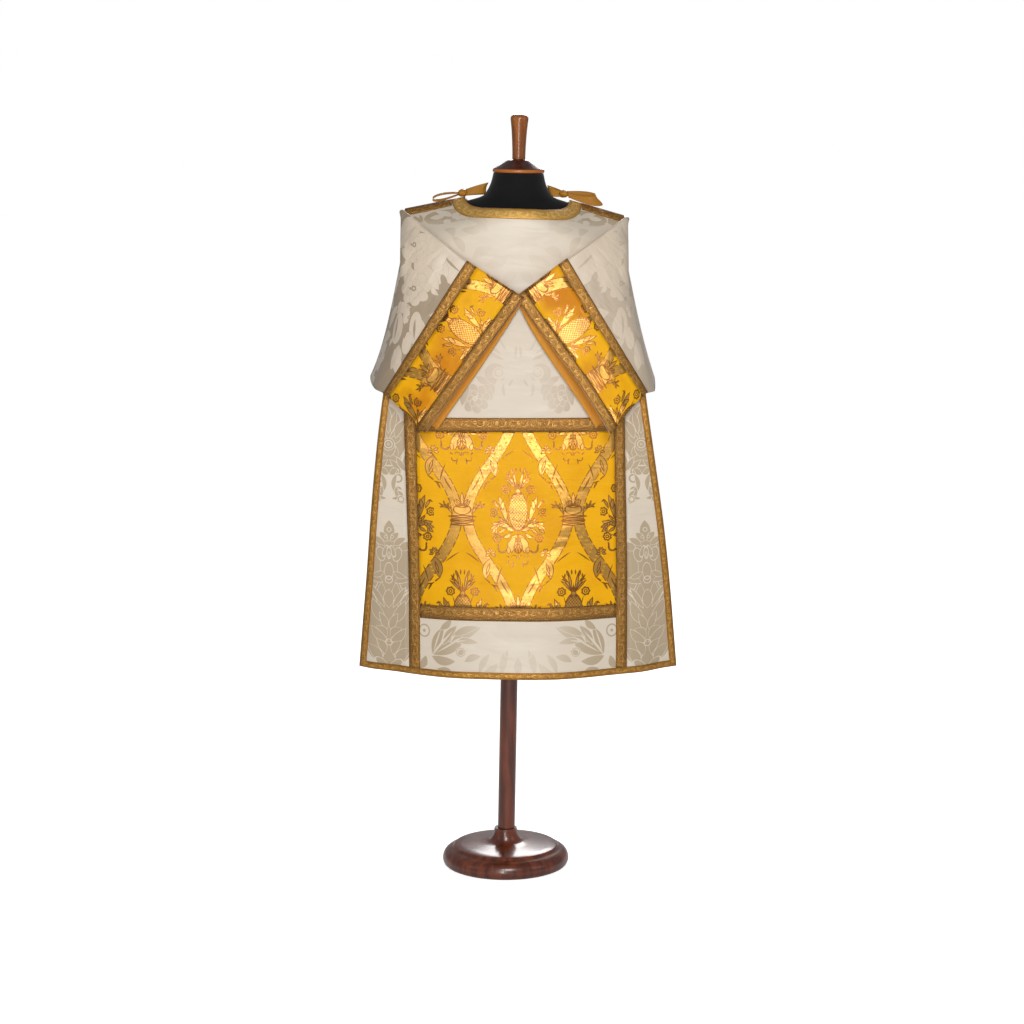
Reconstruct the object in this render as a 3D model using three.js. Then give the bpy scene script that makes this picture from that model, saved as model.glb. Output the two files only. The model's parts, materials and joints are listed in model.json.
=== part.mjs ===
// A Roman tunicle on a limbless dress form: front and back panels open at the
// shoulders and down the sides, two sleeves brought forward so that their cuffs
// meet over the chest, a brocade apparel on each panel, galloon on every edge,
// and a ribbon bow on each shoulder.
//
// Millimetres, +Z up. The origin is the middle of the base's underside. The
// wearer faces -Y, so the wearer's right side is at -X. Garment sizes are given
// from the garment's own middle line, which stands GARMENT_X beside the origin.
import * as THREE from 'three';

// ---------------------------------------------------------------- cloth
const CLOTH = 2.0; // damask with its interlining and lining
const BRAID = 1.2; // galloon, brocade and ribbon
const LINING = 0.8; // satin inside the cuffs
const GAP = 0.3; // between neighbouring pieces
const LAYER_1 = CLOTH / 2 + GAP; // underside of what is sewn on the cloth
const LAYER_2 = LAYER_1 + BRAID; // its upper side

// ---------------------------------------------------------------- panels
const GARMENT_X = 27.5;
const PANEL_COLUMNS = [176, 212, 236]; // from beside the neck to the armhole
const PANEL_HALF = 236;
const GORE_SHARES = [0.5, 1, 2]; // half way out, inside the border, outer edge
const NECK_TURNS = [22.5, 45, 67.5, 90]; // degrees round the neck hole from the middle
const NECK_HALF_WIDTH = 112;
const NECK_BRAID = 27;
const SHOULDER_TOP = 1512; // where the two shoulder slopes would meet
const SHOULDER_SLOPE = 0.25;
const SHOULDER_ROUND = 60; // rounds the ridge of the slopes at the neck
const SHOULDER_LEAN = 0.031; // the wearer's left shoulder hangs lower
const SHOULDER_SLIT = 3; // half the gap between front and back
const BORDER_WIDTH = 15;
const HEM_Z = 461;
const BORDER_TOP_Z = HEM_Z + BORDER_WIDTH;
const GORE_TOP_Z = 1088;
const UNDERARM_Z = 1120;
const APPAREL = { top: 1025, innerTop: 995, innerLow: 617, low: 587 };
const ROLL_SHARES = [0, 0.12, 0.36, 0.6, 0.8, 1]; // rows of cloth points over the shoulder
const HANG_ROWS = [
  1265, 1190, UNDERARM_Z, GORE_TOP_Z, 1058, APPAREL.top, APPAREL.innerTop, 920, 845, 770,
  695, APPAREL.innerLow, APPAREL.low, 530, BORDER_TOP_Z, HEM_Z,
];
const BOW_SPREAD = 218; // the distance from the middle at which bow is stated

// depth: from the shoulder line to the middle of the panel; bow: how much less
// at BOW_SPREAD. roll: slope at the shoulder line and height of the shoulder
// curve, at the middle and at the armhole.
const FRONT = {
  side: -1,
  slopeMiddle: 0.05, slopeEnd: 0.68, rollMiddle: 70, rollEnd: 128,
  neckDepth: 113, neckStep: 0.2,
  hang: [
    { z: 1440, depth: 127, bow: 38 }, { z: 1320, depth: 127, bow: 38 },
    { z: 1240, depth: 129, bow: 34 }, { z: 1120, depth: 131, bow: 22 },
    { z: 1010, depth: 134, bow: 14 }, { z: 800, depth: 145, bow: 28 },
    { z: 600, depth: 160, bow: 46 }, { z: 440, depth: 175, bow: 58 },
  ],
};
const BACK = {
  side: 1,
  slopeMiddle: 0.05, slopeEnd: 0.68, rollMiddle: 70, rollEnd: 128,
  neckDepth: 90, neckStep: 0.22,
  hang: [
    { z: 1440, depth: 119, bow: 32 }, { z: 1320, depth: 119, bow: 32 },
    { z: 1240, depth: 120, bow: 29 }, { z: 1120, depth: 121, bow: 22 },
    { z: 1010, depth: 123, bow: 17 }, { z: 800, depth: 130, bow: 24 },
    { z: 600, depth: 140, bow: 36 }, { z: 440, depth: 150, bow: 46 },
  ],
};

// Distance from the middle line to the outer edge of the side gores.
const GORE_EDGE = [
  { z: 1088, x: 279 }, { z: 1060, x: 283 }, { z: 950, x: 298 }, { z: 794, x: 317 },
  { z: 613, x: 335 }, { z: 461, x: 349 },
];

// The upper part hangs to the wearer's right by this much at the panel's edge.
const SWAY = { amount: -8, fromZ: 620, toZ: 1060 };

// ---------------------------------------------------------------- sleeves
// x is the distance from the middle line, whichever side. Each section holds
// three points of the sleeve: a third, two thirds and all of the way from the
// ridge down to the lower edge. at is the share of the way from the armhole to
// the opening. The outer half starts at the back panel and shows in front; the
// inner half starts at the front panel, doubles back and lies on the chest.
const RIGHT_SLEEVE = {
  side: -1,
  ridge: { middle: { x: 106, z: 1351 }, mouth: { x: -9, z: 1278 }, mouthLift: 34 },
  outer: [
    { at: 0.1, x: [248, 260, 284], y: [16, 54, 74], z: [1342, 1222, 1116] },
    { at: 0.22, x: [253, 279, 313], y: [-60, -20, -6], z: [1338, 1214, 1102] },
    { at: 0.42, x: [222, 258, 301], y: [-121, -112, -86], z: [1300, 1196, 1084] },
    { at: 0.62, x: [168, 222, 279], y: [-148, -148, -126], z: [1262, 1171, 1077] },
    { at: 1, x: [60, 126, 191], y: [-181, -194, -206], z: [1187, 1095, 1002] },
  ],
  inner: [
    { at: 0.07, x: [243, 247, 255], y: [-76, -88, -96], z: [1328, 1228, 1116] },
    { at: 0.14, x: [242, 251, 266], y: [-90, -96, -103], z: [1325, 1222, 1110] },
    { at: 0.22, x: [228, 243, 261], y: [-99, -106, -112], z: [1320, 1212, 1104] },
    { at: 0.42, x: [192, 223, 253], y: [-112, -112, -114], z: [1300, 1185, 1078] },
    { at: 0.62, x: [152, 201, 249], y: [-124, -121, -121], z: [1256, 1164, 1075] },
    { at: 1, x: [44, 106, 169], y: [-142, -139, -139], z: [1187, 1093, 1000] },
  ],
};
const LEFT_SLEEVE = {
  side: 1,
  ridge: { middle: { x: 97, z: 1351 }, mouth: { x: -3, z: 1278 }, mouthLift: 13 },
  outer: [
    { at: 0.1, x: [247, 260, 282], y: [16, 54, 74], z: [1338, 1222, 1116] },
    { at: 0.22, x: [253, 280, 306], y: [-60, -20, -6], z: [1330, 1216, 1098] },
    { at: 0.42, x: [224, 264, 301], y: [-118, -112, -88], z: [1300, 1198, 1078] },
    { at: 0.62, x: [172, 229, 284], y: [-142, -142, -126], z: [1259, 1170, 1078] },
    { at: 1, x: [66, 138, 200], y: [-160, -176, -204], z: [1187, 1092, 998] },
  ],
  inner: [
    { at: 0.07, x: [243, 247, 255], y: [-74, -88, -96], z: [1326, 1228, 1118] },
    { at: 0.14, x: [242, 251, 266], y: [-88, -96, -104], z: [1322, 1222, 1113] },
    { at: 0.22, x: [228, 245, 263], y: [-99, -106, -112], z: [1316, 1212, 1106] },
    { at: 0.42, x: [192, 226, 256], y: [-112, -113, -116], z: [1298, 1187, 1086] },
    { at: 0.62, x: [152, 206, 254], y: [-123, -122, -122], z: [1255, 1164, 1077] },
    { at: 1, x: [44, 108, 170], y: [-138, -138, -139], z: [1187, 1095, 1004] },
  ],
};
const RIDGE_START = [{ x: 237.8, y: -1 }, { x: 243, y: -6 }, { x: 246, y: -19 }, { x: 244, y: -38 }];
// From the tip to the middle of the ridge: share of the way, and the distance
// from the panel to the middle of the fold.
const RIDGE_STEPS = [
  { share: 0.12, lift: 28 }, { share: 0.35, lift: 23 }, { share: 0.65, lift: 17 },
  { share: 1, lift: 14 },
];
const START_RISE = 0.6; // from each point of the start to the next
const TIP_DROP = 7; // from the shoulder line to the ridge at the panel's corner
const HALFWAY_LIFT = 0.45; // share of the mouth's lift half way to it
const FOLD_RADIUS = 5;
const FOLD_TURNS = [60, 120]; // degrees
const ARMHOLE_CLEAR = 1.8; // from the panel's edge to the sleeve
// From the panel to each half: in front of it, and beyond its edge.
const INNER_CLEAR = { front: 10, edge: 34, forwardOnly: true };
const OUTER_CLEAR = { front: 20, edge: 13, forwardOnly: false };
const CLEAR_FROM = 0.08; // nearer the armhole the sleeve turns out of the seam
const SLEEVE_ROWS = [0, 1 / 6, 1 / 3, 1 / 2, 2 / 3, 5 / 6, 1]; // from the ridge down
const CUFF = { from: 0.62, brocadeFrom: 0.6875, brocadeTo: 0.9325 };
const SLEEVE_COLUMNS = [
  0, 0.05, 0.1, 0.15, 0.22, 0.32, 0.42, 0.52, CUFF.from, CUFF.brocadeFrom, 0.77, 0.85,
  CUFF.brocadeTo, 1,
];

// ---------------------------------------------------------------- bows
// Ribbon loops start at the knot and reach to the tip; puff parts their two
// sides and across is the ribbon's width.
const BOWS = [
  {
    name: 'bow_right', knot: [-120, 7, 1498], size: [8, 10, 7],
    loops: [
      { name: 'outer', tip: [-184, 4, 1488], puff: [4, 4, 14], across: [0, 12, 3], pinch: 0.5 },
      { name: 'inner', tip: [-73, 12, 1508], puff: [0, 24, -2], across: [5, 5, 21], pinch: 0.5 },
    ],
  },
  {
    name: 'bow_left', knot: [98, 9, 1496], size: [8, 10, 7],
    loops: [
      { name: 'outer', tip: [172, 11, 1484], puff: [6, 18, 9], across: [-8, 7, 18], pinch: 0.5 },
      { name: 'inner', tip: [74, 14, 1505], puff: [0, 18, 3], across: [-5, 6, 17], pinch: 0.6 },
    ],
  },
];
const LOOP_STEPS = 12;
const LOOP_CLEAR = 0.11; // share of a loop inside its knot

// ---------------------------------------------------------------- dress form
const FORM_LEAN = 0.0184; // sideways per unit of height
const TORSO_LEAN = 0.02; // the wearer's left shoulder is lower by this much of x
const TORSO_SEGMENTS = 32;
const TORSO = [ // w and d: half width and half depth; p: 2 is an ellipse, 1 a diamond
  { z: 832, w: 96, d: 66, p: 2 }, { z: 838, w: 132, d: 92, p: 2 }, { z: 856, w: 150, d: 103, p: 2 },
  { z: 920, w: 154, d: 106, p: 2 }, { z: 1060, w: 141, d: 95, p: 2 }, { z: 1180, w: 154, d: 103, p: 2 },
  { z: 1300, w: 170, d: 110, p: 2 }, { z: 1380, w: 186, d: 105, p: 1.95 },
  { z: 1425, w: 196, d: 92, p: 1.7 }, { z: 1443, w: 195, d: 82, p: 1.45 },
  { z: 1455, w: 182, d: 74, p: 1.25 }, { z: 1469, w: 146, d: 70, p: 1.2 },
  { z: 1481, w: 102, d: 66, p: 1.35 }, { z: 1490, w: 76, d: 63, p: 1.8 },
  { z: 1505, w: 65, d: 60, p: 2 }, { z: 1522, w: 58, d: 56, p: 2 }, { z: 1540, w: 54, d: 54, p: 2 },
];
const FORM_TOP_Z = 1540;
const FORM_LOW_Z = 832;
const CAP_PROFILE = [
  [0, 0], [52, 0], [55.5, 1.5], [55.5, 5.5], [53.5, 7], [49, 8.4], [41, 14], [31, 20.5],
  [26, 23.5], [24, 25.5], [24, 27.5], [0, 27.5],
];
const FINIAL_PROFILE = [
  [0, 0], [13, 0], [14, 1.5], [14.5, 25], [16.5, 60], [18.8, 84], [19.4, 89], [18.2, 93],
  [14, 95.3], [0, 96.5],
];
const BASE_PROFILE = [
  [0, 0], [126, 0], [135, 3], [140, 10], [141, 18], [138, 28], [130, 36], [120, 40], [117, 42],
  [115, 46], [78, 50], [44, 53], [36, 56], [31, 62], [27, 72], [25, 84], [0, 84],
];
const POLE_RADIUS = 19;
const POLE_SEGMENTS = 24;
const LATHE_SEGMENTS = 36;
const WOOD_GAP = 1; // between the wooden pieces, which lean with the form
const POLE_GAP = 4; // under the form's bottom

// ---------------------------------------------------------------- small helpers
const vec = (x, y, z) => new THREE.Vector3(x, y, z);
const mix = (a, b, t) => a + (b - a) * t;
const clamp = THREE.MathUtils.clamp;
const radians = THREE.MathUtils.degToRad;

// A smooth curve through rows of numbers that never overshoots them.
function curveThrough(at, v) {
  const slope = at.slice(1).map((_, i) => (v[i + 1] - v[i]) / (at[i + 1] - at[i]));
  const tangent = v.map((_, i) => {
    if (i === 0) return slope[0];
    if (i === v.length - 1) return slope[i - 1];
    return slope[i - 1] * slope[i] <= 0 ? 0 : 2 / (1 / slope[i - 1] + 1 / slope[i]);
  });
  return (x) => {
    const last = at.length - 2;
    const i = at.findIndex((_, k) => k === last || x < at[k + 1]);
    const w = at[i + 1] - at[i];
    const t = clamp((x - at[i]) / w, 0, 1);
    const rise = t * t * (3 - 2 * t);
    return mix(v[i], v[i + 1], rise) + w * t * (1 - t) * ((1 - t) * tangent[i] - t * tangent[i + 1]);
  };
}

function tableCurve(rows, value) {
  const sorted = [...rows].sort((a, b) => a.z - b.z);
  return curveThrough(sorted.map((r) => r.z), sorted.map((r) => r[value]));
}

// The cubic through four values at 0, 1/3, 2/3 and 1.
function throughFour(a, b, c, d, t) {
  const [u, v, w] = [3 * t - 1, 3 * t - 2, t - 1];
  return -a * u * v * w / 2 + 9 * b * t * v * w / 2 - 9 * c * t * u * w / 2 + d * t * u * v / 2;
}

// ---------------------------------------------------------------- sheets of cloth
function swayed(p) {
  const share = Math.min(1, Math.abs(p.x) / PANEL_HALF) ** 2;
  const height = THREE.MathUtils.smoothstep(p.z, SWAY.fromZ, SWAY.toZ);
  return vec(p.x + SWAY.amount * share * height, p.y, p.z);
}

// A sheet is a grid of points on the middle of the cloth, rows down and columns
// across; a missing point is null. flip turns its outward side round.
function sheetOf(straight, flip) {
  const points = straight.map((row) => row.map((p) => p && swayed(p)));
  const normal = (i, j) => {
    const here = points[i][j];
    const near = (a, b) => points[a]?.[b] || here;
    const across = near(i, j + 1).clone().sub(near(i, j - 1));
    const down = near(i + 1, j).clone().sub(near(i - 1, j));
    return across.cross(down).normalize().multiplyScalar(flip ? -1 : 1);
  };
  const normals = points.map((row, i) => row.map((p, j) => p && normal(i, j)));
  return { points, normals, flip };
}

// One piece cut from a sheet: the cells that wanted(i, j) picks, as a wall whose
// faces lie low and high above the sheet. Its cut edges draw back by half a gap.
function wall(sheet, wanted, low, high) {
  const { points, normals } = sheet;
  const cells = [];
  for (let i = 0; i < points.length - 1; i++) {
    for (let j = 0; j < points[0].length - 1; j++) {
      const corners = [points[i][j], points[i][j + 1], points[i + 1][j], points[i + 1][j + 1]];
      if (corners.every(Boolean) && wanted(i, j)) cells.push([i, j]);
    }
  }
  const taken = new Set(cells.map(([i, j]) => `${i},${j}`));
  const holds = (i, j) => taken.has(`${i},${j}`);
  const drawBack = (i, j) => {
    const around = [[i - 1, j - 1], [i - 1, j], [i, j - 1], [i, j]].filter(([a, b]) => holds(a, b));
    const here = points[i][j];
    const inward = vec(0, 0, 0);
    if (around.length === 4) return inward;
    for (const [a, b] of around) {
      inward.add(points[a === i ? i + 1 : i - 1][j].clone().sub(here).normalize());
      inward.add(points[i][b === j ? j + 1 : j - 1].clone().sub(here).normalize());
    }
    return inward.setLength((around.length === 2 ? 1 : Math.SQRT2) * (GAP / 2));
  };
  const index = new Map();
  const position = [];
  const place = (i, j) => {
    const key = `${i},${j}`;
    if (!index.has(key)) {
      index.set(key, position.length / 3);
      const p = points[i][j].clone().add(drawBack(i, j));
      for (const level of [low, high]) {
        position.push(...p.clone().addScaledVector(normals[i][j], level));
      }
    }
    return index.get(key);
  };
  const triangles = [];
  const quad = (a, b, c, d) => {
    triangles.push(...(sheet.flip ? [a, c, b, a, d, c] : [a, b, c, a, c, d]));
  };
  for (const [i, j] of cells) {
    const [a, b, c, d] = [place(i, j), place(i, j + 1), place(i + 1, j + 1), place(i + 1, j)];
    quad(a + 1, b + 1, c + 1, d + 1);
    quad(a, d, c, b);
    if (!holds(i - 1, j)) quad(a, b, b + 1, a + 1);
    if (!holds(i, j + 1)) quad(b, c, c + 1, b + 1);
    if (!holds(i + 1, j)) quad(c, d, d + 1, c + 1);
    if (!holds(i, j - 1)) quad(d, a, a + 1, d + 1);
  }
  return solidOf(position, triangles);
}

function solidOf(position, triangles) {
  const g = new THREE.BufferGeometry();
  g.setAttribute('position', new THREE.Float32BufferAttribute(position, 3));
  g.setIndex(triangles);
  return g;
}

// ---------------------------------------------------------------- panel surfaces
function shoulderZ(x) {
  const away = Math.hypot(x, SHOULDER_ROUND) - SHOULDER_ROUND / 4;
  return SHOULDER_TOP - SHOULDER_SLOPE * away - SHOULDER_LEAN * x;
}

for (const panel of [FRONT, BACK]) {
  panel.depthAt = tableCurve(panel.hang, 'depth');
  panel.bowAt = tableCurve(panel.hang, 'bow');
  panel.hangDepth = (x, z) => panel.depthAt(z) - panel.bowAt(z) * (x / BOW_SPREAD) ** 2;
}

// The shoulder curve at x: reach out from the slit, drop of its first slope, height.
function rollOf(panel, x) {
  const share = Math.min(1, Math.abs(x) / PANEL_HALF);
  const reach = panel.hangDepth(x, SHOULDER_TOP) - SHOULDER_SLIT;
  const slope = mix(panel.slopeMiddle, panel.slopeEnd, THREE.MathUtils.smoothstep(share, 0, 1));
  return { reach, lead: slope * reach, height: mix(panel.rollMiddle, panel.rollEnd, share ** 2) };
}

function onRoll(panel, x, t) {
  const { reach, lead, height } = rollOf(panel, x);
  const y = SHOULDER_SLIT + reach * (2 - t) * t;
  return vec(x, panel.side * y, shoulderZ(x) - 2 * t * (1 - t) * lead - t * t * height);
}

const onHang = (panel, x, z) => vec(x, panel.side * panel.hangDepth(x, z), z);

// Depth of the panel at any point below the shoulder line.
function depthOf(panel, x, z) {
  const { reach, lead, height } = rollOf(panel, x);
  const drop = Math.max(0, shoulderZ(x) - z);
  if (drop >= height) return panel.hangDepth(x, z);
  const t = drop / (lead + Math.sqrt(lead ** 2 + (height - 2 * lead) * drop));
  return SHOULDER_SLIT + reach * (2 - t) * t;
}

// ---------------------------------------------------------------- panel sheets
const ROWS = [
  { neck: true },
  ...ROLL_SHARES.map((share) => ({ share })),
  ...HANG_ROWS.map((z) => ({ z })),
];
const HALF_COLUMNS = [
  ...NECK_TURNS.map((turn) => ({ turn: radians(turn) })),
  ...PANEL_COLUMNS.map((x) => ({ x })),
  ...GORE_SHARES.map((gore) => ({ gore })),
];
const COLUMNS = [
  ...HALF_COLUMNS.map((c) => ({ ...c, sign: -1 })).reverse(),
  { turn: 0, sign: 1 },
  ...HALF_COLUMNS.map((c) => ({ ...c, sign: 1 })),
];
const MIDDLE = HALF_COLUMNS.length;
const goreEdge = tableCurve(GORE_EDGE, 'x');

function goreX(column, z) {
  const edge = goreEdge(z);
  if (column.gore > 1) return edge;
  return mix(PANEL_HALF, edge - BORDER_WIDTH, column.gore);
}

function neckShare(panel, turn, half, extra) {
  const x = half * Math.sin(turn);
  const { reach } = rollOf(panel, x);
  const inside = 1 - (panel.neckDepth - SHOULDER_SLIT) * Math.cos(turn) / reach;
  return 1 - Math.sqrt(inside) + extra * Math.cos(turn);
}

function panelPoint(panel, row, column) {
  const { turn, sign } = column;
  const onNeck = turn !== undefined;
  const outer = NECK_HALF_WIDTH + NECK_BRAID;
  if (column.gore !== undefined) {
    return row.z <= GORE_TOP_Z ? onHang(panel, sign * goreX(column, row.z), row.z) : null;
  }
  if (row.neck) {
    if (!onNeck) return null;
    const share = neckShare(panel, turn, NECK_HALF_WIDTH, 0);
    return onRoll(panel, sign * NECK_HALF_WIDTH * Math.sin(turn), share);
  }
  const x = sign * (onNeck ? outer * Math.sin(turn) : column.x);
  if (row.z !== undefined) return onHang(panel, x, row.z);
  const from = onNeck ? neckShare(panel, turn, NECK_HALF_WIDTH, panel.neckStep) : 0;
  return onRoll(panel, x, mix(from, 1, row.share));
}

const panelSheet = (panel) => sheetOf(
  ROWS.map((row) => COLUMNS.map((column) => panelPoint(panel, row, column))),
  panel.side < 0,
);
const frontSheet = panelSheet(FRONT);
const backSheet = panelSheet(BACK);

// Which cells of a panel sheet belong to what.
const outward = (j) => (j < MIDDLE ? COLUMNS[j] : COLUMNS[j + 1]);
const below = (i, z) => ROWS[i].z <= z;
const between = (i, top, low) => below(i, top) && !below(i, low);
const isGore = (j) => outward(j).gore !== undefined;
const isBand = (j) => outward(j).x === PANEL_HALF;
const isEdge = (j) => outward(j).gore > 1;
const isInner = (j) => !isGore(j) && !isBand(j);
const onSide = (j, sign) => outward(j).sign === sign && (sign > 0 ? j >= MIDDLE : j < MIDDLE);
const pastNeck = (j) => outward(j).x !== undefined;

// ---------------------------------------------------------------- sleeve sheets
function ridgeOf(sleeve) {
  const { side } = sleeve;
  const { middle, mouth, mouthLift } = sleeve.ridge;
  const start = RIDGE_START.map(({ x, y }, i) => {
    const z = shoulderZ(side * x) - FOLD_RADIUS - CLOTH / 2 + START_RISE * i;
    return vec(x, y, z);
  });
  const tip = { x: PANEL_HALF, z: shoulderZ(side * PANEL_HALF) - TIP_DROP };
  const line = [
    ...RIDGE_STEPS.map(({ share, lift }) => [
      mix(tip.x, middle.x, share), mix(tip.z, middle.z, share), lift,
    ]),
    [
      (middle.x + mouth.x) / 2,
      (middle.z + mouth.z) / 2,
      mix(RIDGE_STEPS.at(-1).lift, mouthLift, HALFWAY_LIFT),
    ],
    [mouth.x, mouth.z, mouthLift],
  ];
  const lifted = line.map(([x, z, lift]) => {
    const step = 0.5;
    let low = z;
    let out = vec(0, -1, 0);
    for (let k = 0; k < 6; k++) {
      const dx = depthOf(FRONT, side * (x + step), low) - depthOf(FRONT, side * (x - step), low);
      const dz = depthOf(FRONT, side * x, low + step) - depthOf(FRONT, side * x, low - step);
      out = vec(-dx / (2 * step), -1, -dz / (2 * step)).normalize();
      low = z - lift * out.z;
    }
    return vec(x, -depthOf(FRONT, side * x, low) + lift * out.y, z);
  });
  return new THREE.CatmullRomCurve3([...start, ...lifted]);
}

// The panel's armhole edge, t of the way from the shoulder to the underarm.
function armholeEdge(panel, side, t) {
  const x = side * PANEL_HALF;
  const steps = 60;
  const path = [];
  for (let k = 0; k <= steps; k++) path.push(onRoll(panel, x, k / steps));
  const rollEnd = path[steps].z;
  for (let k = 1; k <= steps; k++) path.push(onHang(panel, x, mix(rollEnd, UNDERARM_Z, k / steps)));
  const run = [0];
  for (let k = 1; k < path.length; k++) run.push(run[k - 1] + path[k].distanceTo(path[k - 1]));
  const wanted = t * run.at(-1);
  const k = clamp(run.findIndex((r) => r >= wanted), 1, path.length - 1);
  const p = path[k - 1].clone().lerp(path[k], (wanted - run[k - 1]) / (run[k] - run[k - 1]));
  return vec(PANEL_HALF + ARMHOLE_CLEAR, p.y, p.z);
}

// Moves a sleeve point that would lie in the front panel forward or outward,
// whichever is nearer.
function clearOfPanel(p, side, clearance) {
  if (!clearance) return p;
  const forward = depthOf(FRONT, side * p.x, p.z) + clearance.front + p.y;
  const out = PANEL_HALF + clearance.edge - p.x;
  if (forward <= 0 || out <= 0) return p;
  if (clearance.forwardOnly || forward < out) p.y -= forward;
  else p.x += out;
  return p;
}

function sleeveSheet(sleeve) {
  const { side } = sleeve;
  const ridge = ridgeOf(sleeve);
  const up = vec(0, 0, 1);
  // A point of the folded ridge, turned from the outer side over the top.
  const fold = (at, turn) => {
    const along = ridge.getTangentAt(at);
    const out = up.clone().cross(along).normalize();
    const top = along.clone().cross(out).normalize();
    return ridge.getPointAt(at)
      .addScaledVector(out, FOLD_RADIUS * Math.cos(turn))
      .addScaledVector(top, FOLD_RADIUS * Math.sin(turn));
  };
  const halfPoint = (sections, panel, clearance, turn, t) => {
    const at = [0, ...sections.map((s) => s.at)];
    const first = t === 0 ? fold(0, turn) : armholeEdge(panel, side, t);
    const stops = sections.map((s) => {
      const start = fold(s.at, turn);
      const axis = (k) => throughFour(start[k], ...s[k], t);
      return vec(axis('x'), axis('y'), axis('z'));
    });
    const all = [first, ...stops];
    const curve = (k) => curveThrough(at, all.map((p) => p[k]));
    const [cx, cy, cz] = [curve('x'), curve('y'), curve('z')];
    return (u) => {
      if (t === 0) return fold(u, turn);
      return clearOfPanel(vec(cx(u), cy(u), cz(u)), side, u < CLEAR_FROM ? null : clearance);
    };
  };
  const rows = [
    ...[...SLEEVE_ROWS].reverse().map((t) => halfPoint(sleeve.outer, BACK, OUTER_CLEAR, 0, t)),
    ...FOLD_TURNS.map((turn) => (u) => fold(u, radians(turn))),
    ...SLEEVE_ROWS.map((t) => halfPoint(sleeve.inner, FRONT, INNER_CLEAR, Math.PI, t)),
  ];
  const points = rows.map((row) => SLEEVE_COLUMNS.map((u) => row(u)));
  points.flat().forEach((p) => { p.x *= side; });
  return sheetOf(points, side > 0);
}

const inCuff = (from, to) => (i, j) => SLEEVE_COLUMNS[j] >= from && SLEEVE_COLUMNS[j + 1] <= to;

// ---------------------------------------------------------------- ribbon
function ribbonLoop(knot, loop) {
  const [from, tip, puff, across] = [knot, loop.tip, loop.puff, loop.across].map((a) => vec(...a));
  const points = [-0.5, 0.5].map((edge) => {
    const row = [];
    for (let k = 0; k <= LOOP_STEPS; k++) {
      const s = mix(LOOP_CLEAR, 1 - LOOP_CLEAR, k / LOOP_STEPS);
      const reach = Math.sin(Math.PI * s);
      const width = mix(loop.pinch, 1, reach);
      row.push(from.clone().lerp(tip, reach)
        .addScaledVector(puff, Math.sin(2 * Math.PI * s) / 2)
        .addScaledVector(across, edge * width));
    }
    return row;
  });
  return wall(sheetOf(points, false), () => true, -BRAID / 2, BRAID / 2);
}

// ---------------------------------------------------------------- dress form
const leanAt = (z) => FORM_LEAN * z;

function torso() {
  const position = [];
  const triangles = [];
  const n = TORSO_SEGMENTS;
  const rounded = (v, p) => Math.sign(v) * Math.abs(v) ** (2 / p);
  for (const { z, w, d, p } of TORSO) {
    for (let k = 0; k < n; k++) {
      const a = 2 * Math.PI * k / n;
      const x = w * rounded(Math.cos(a), p);
      position.push(leanAt(z) + x, d * rounded(Math.sin(a), p), z - TORSO_LEAN * x);
    }
  }
  for (let r = 0; r < TORSO.length - 1; r++) {
    for (let k = 0; k < n; k++) {
      const [a, b] = [r * n + k, r * n + (k + 1) % n];
      triangles.push(a, b, b + n, a, b + n, a + n);
    }
  }
  const last = (TORSO.length - 1) * n;
  for (let k = 1; k < n - 1; k++) {
    triangles.push(0, k + 1, k);
    triangles.push(last, last + k, last + k + 1);
  }
  return solidOf(position, triangles);
}

// A turned piece standing on the leaning axis at height z.
function turned(profile, z, lean) {
  const points = profile.map(([r, h]) => new THREE.Vector2(r, h));
  const g = new THREE.LatheGeometry(points, LATHE_SEGMENTS).rotateX(Math.PI / 2);
  if (lean) g.rotateY(Math.atan(FORM_LEAN));
  return g.translate(lean ? leanAt(z) : 0, 0, z);
}

// ---------------------------------------------------------------- the group
const group = new THREE.Group();
group.name = 'tunicle_on_dress_form';

const COLORS = {
  damask: '#ddd2bd', brocade: '#f0b414', galloon: '#b58a45', ribbon: '#b98530',
  lining: '#d48c2a', jersey: '#141416', wood: '#5a2413', woodLight: '#8a4a24',
};

function add(name, geometry, color) {
  const material = new THREE.MeshStandardMaterial({ color: COLORS[color], roughness: 0.6 });
  material.name = color;
  const mesh = new THREE.Mesh(geometry, material);
  mesh.name = name;
  group.add(mesh);
  return mesh;
}
const addToGarment = (name, geometry, color) => {
  add(name, geometry.translate(GARMENT_X, 0, 0), color);
};

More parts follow.
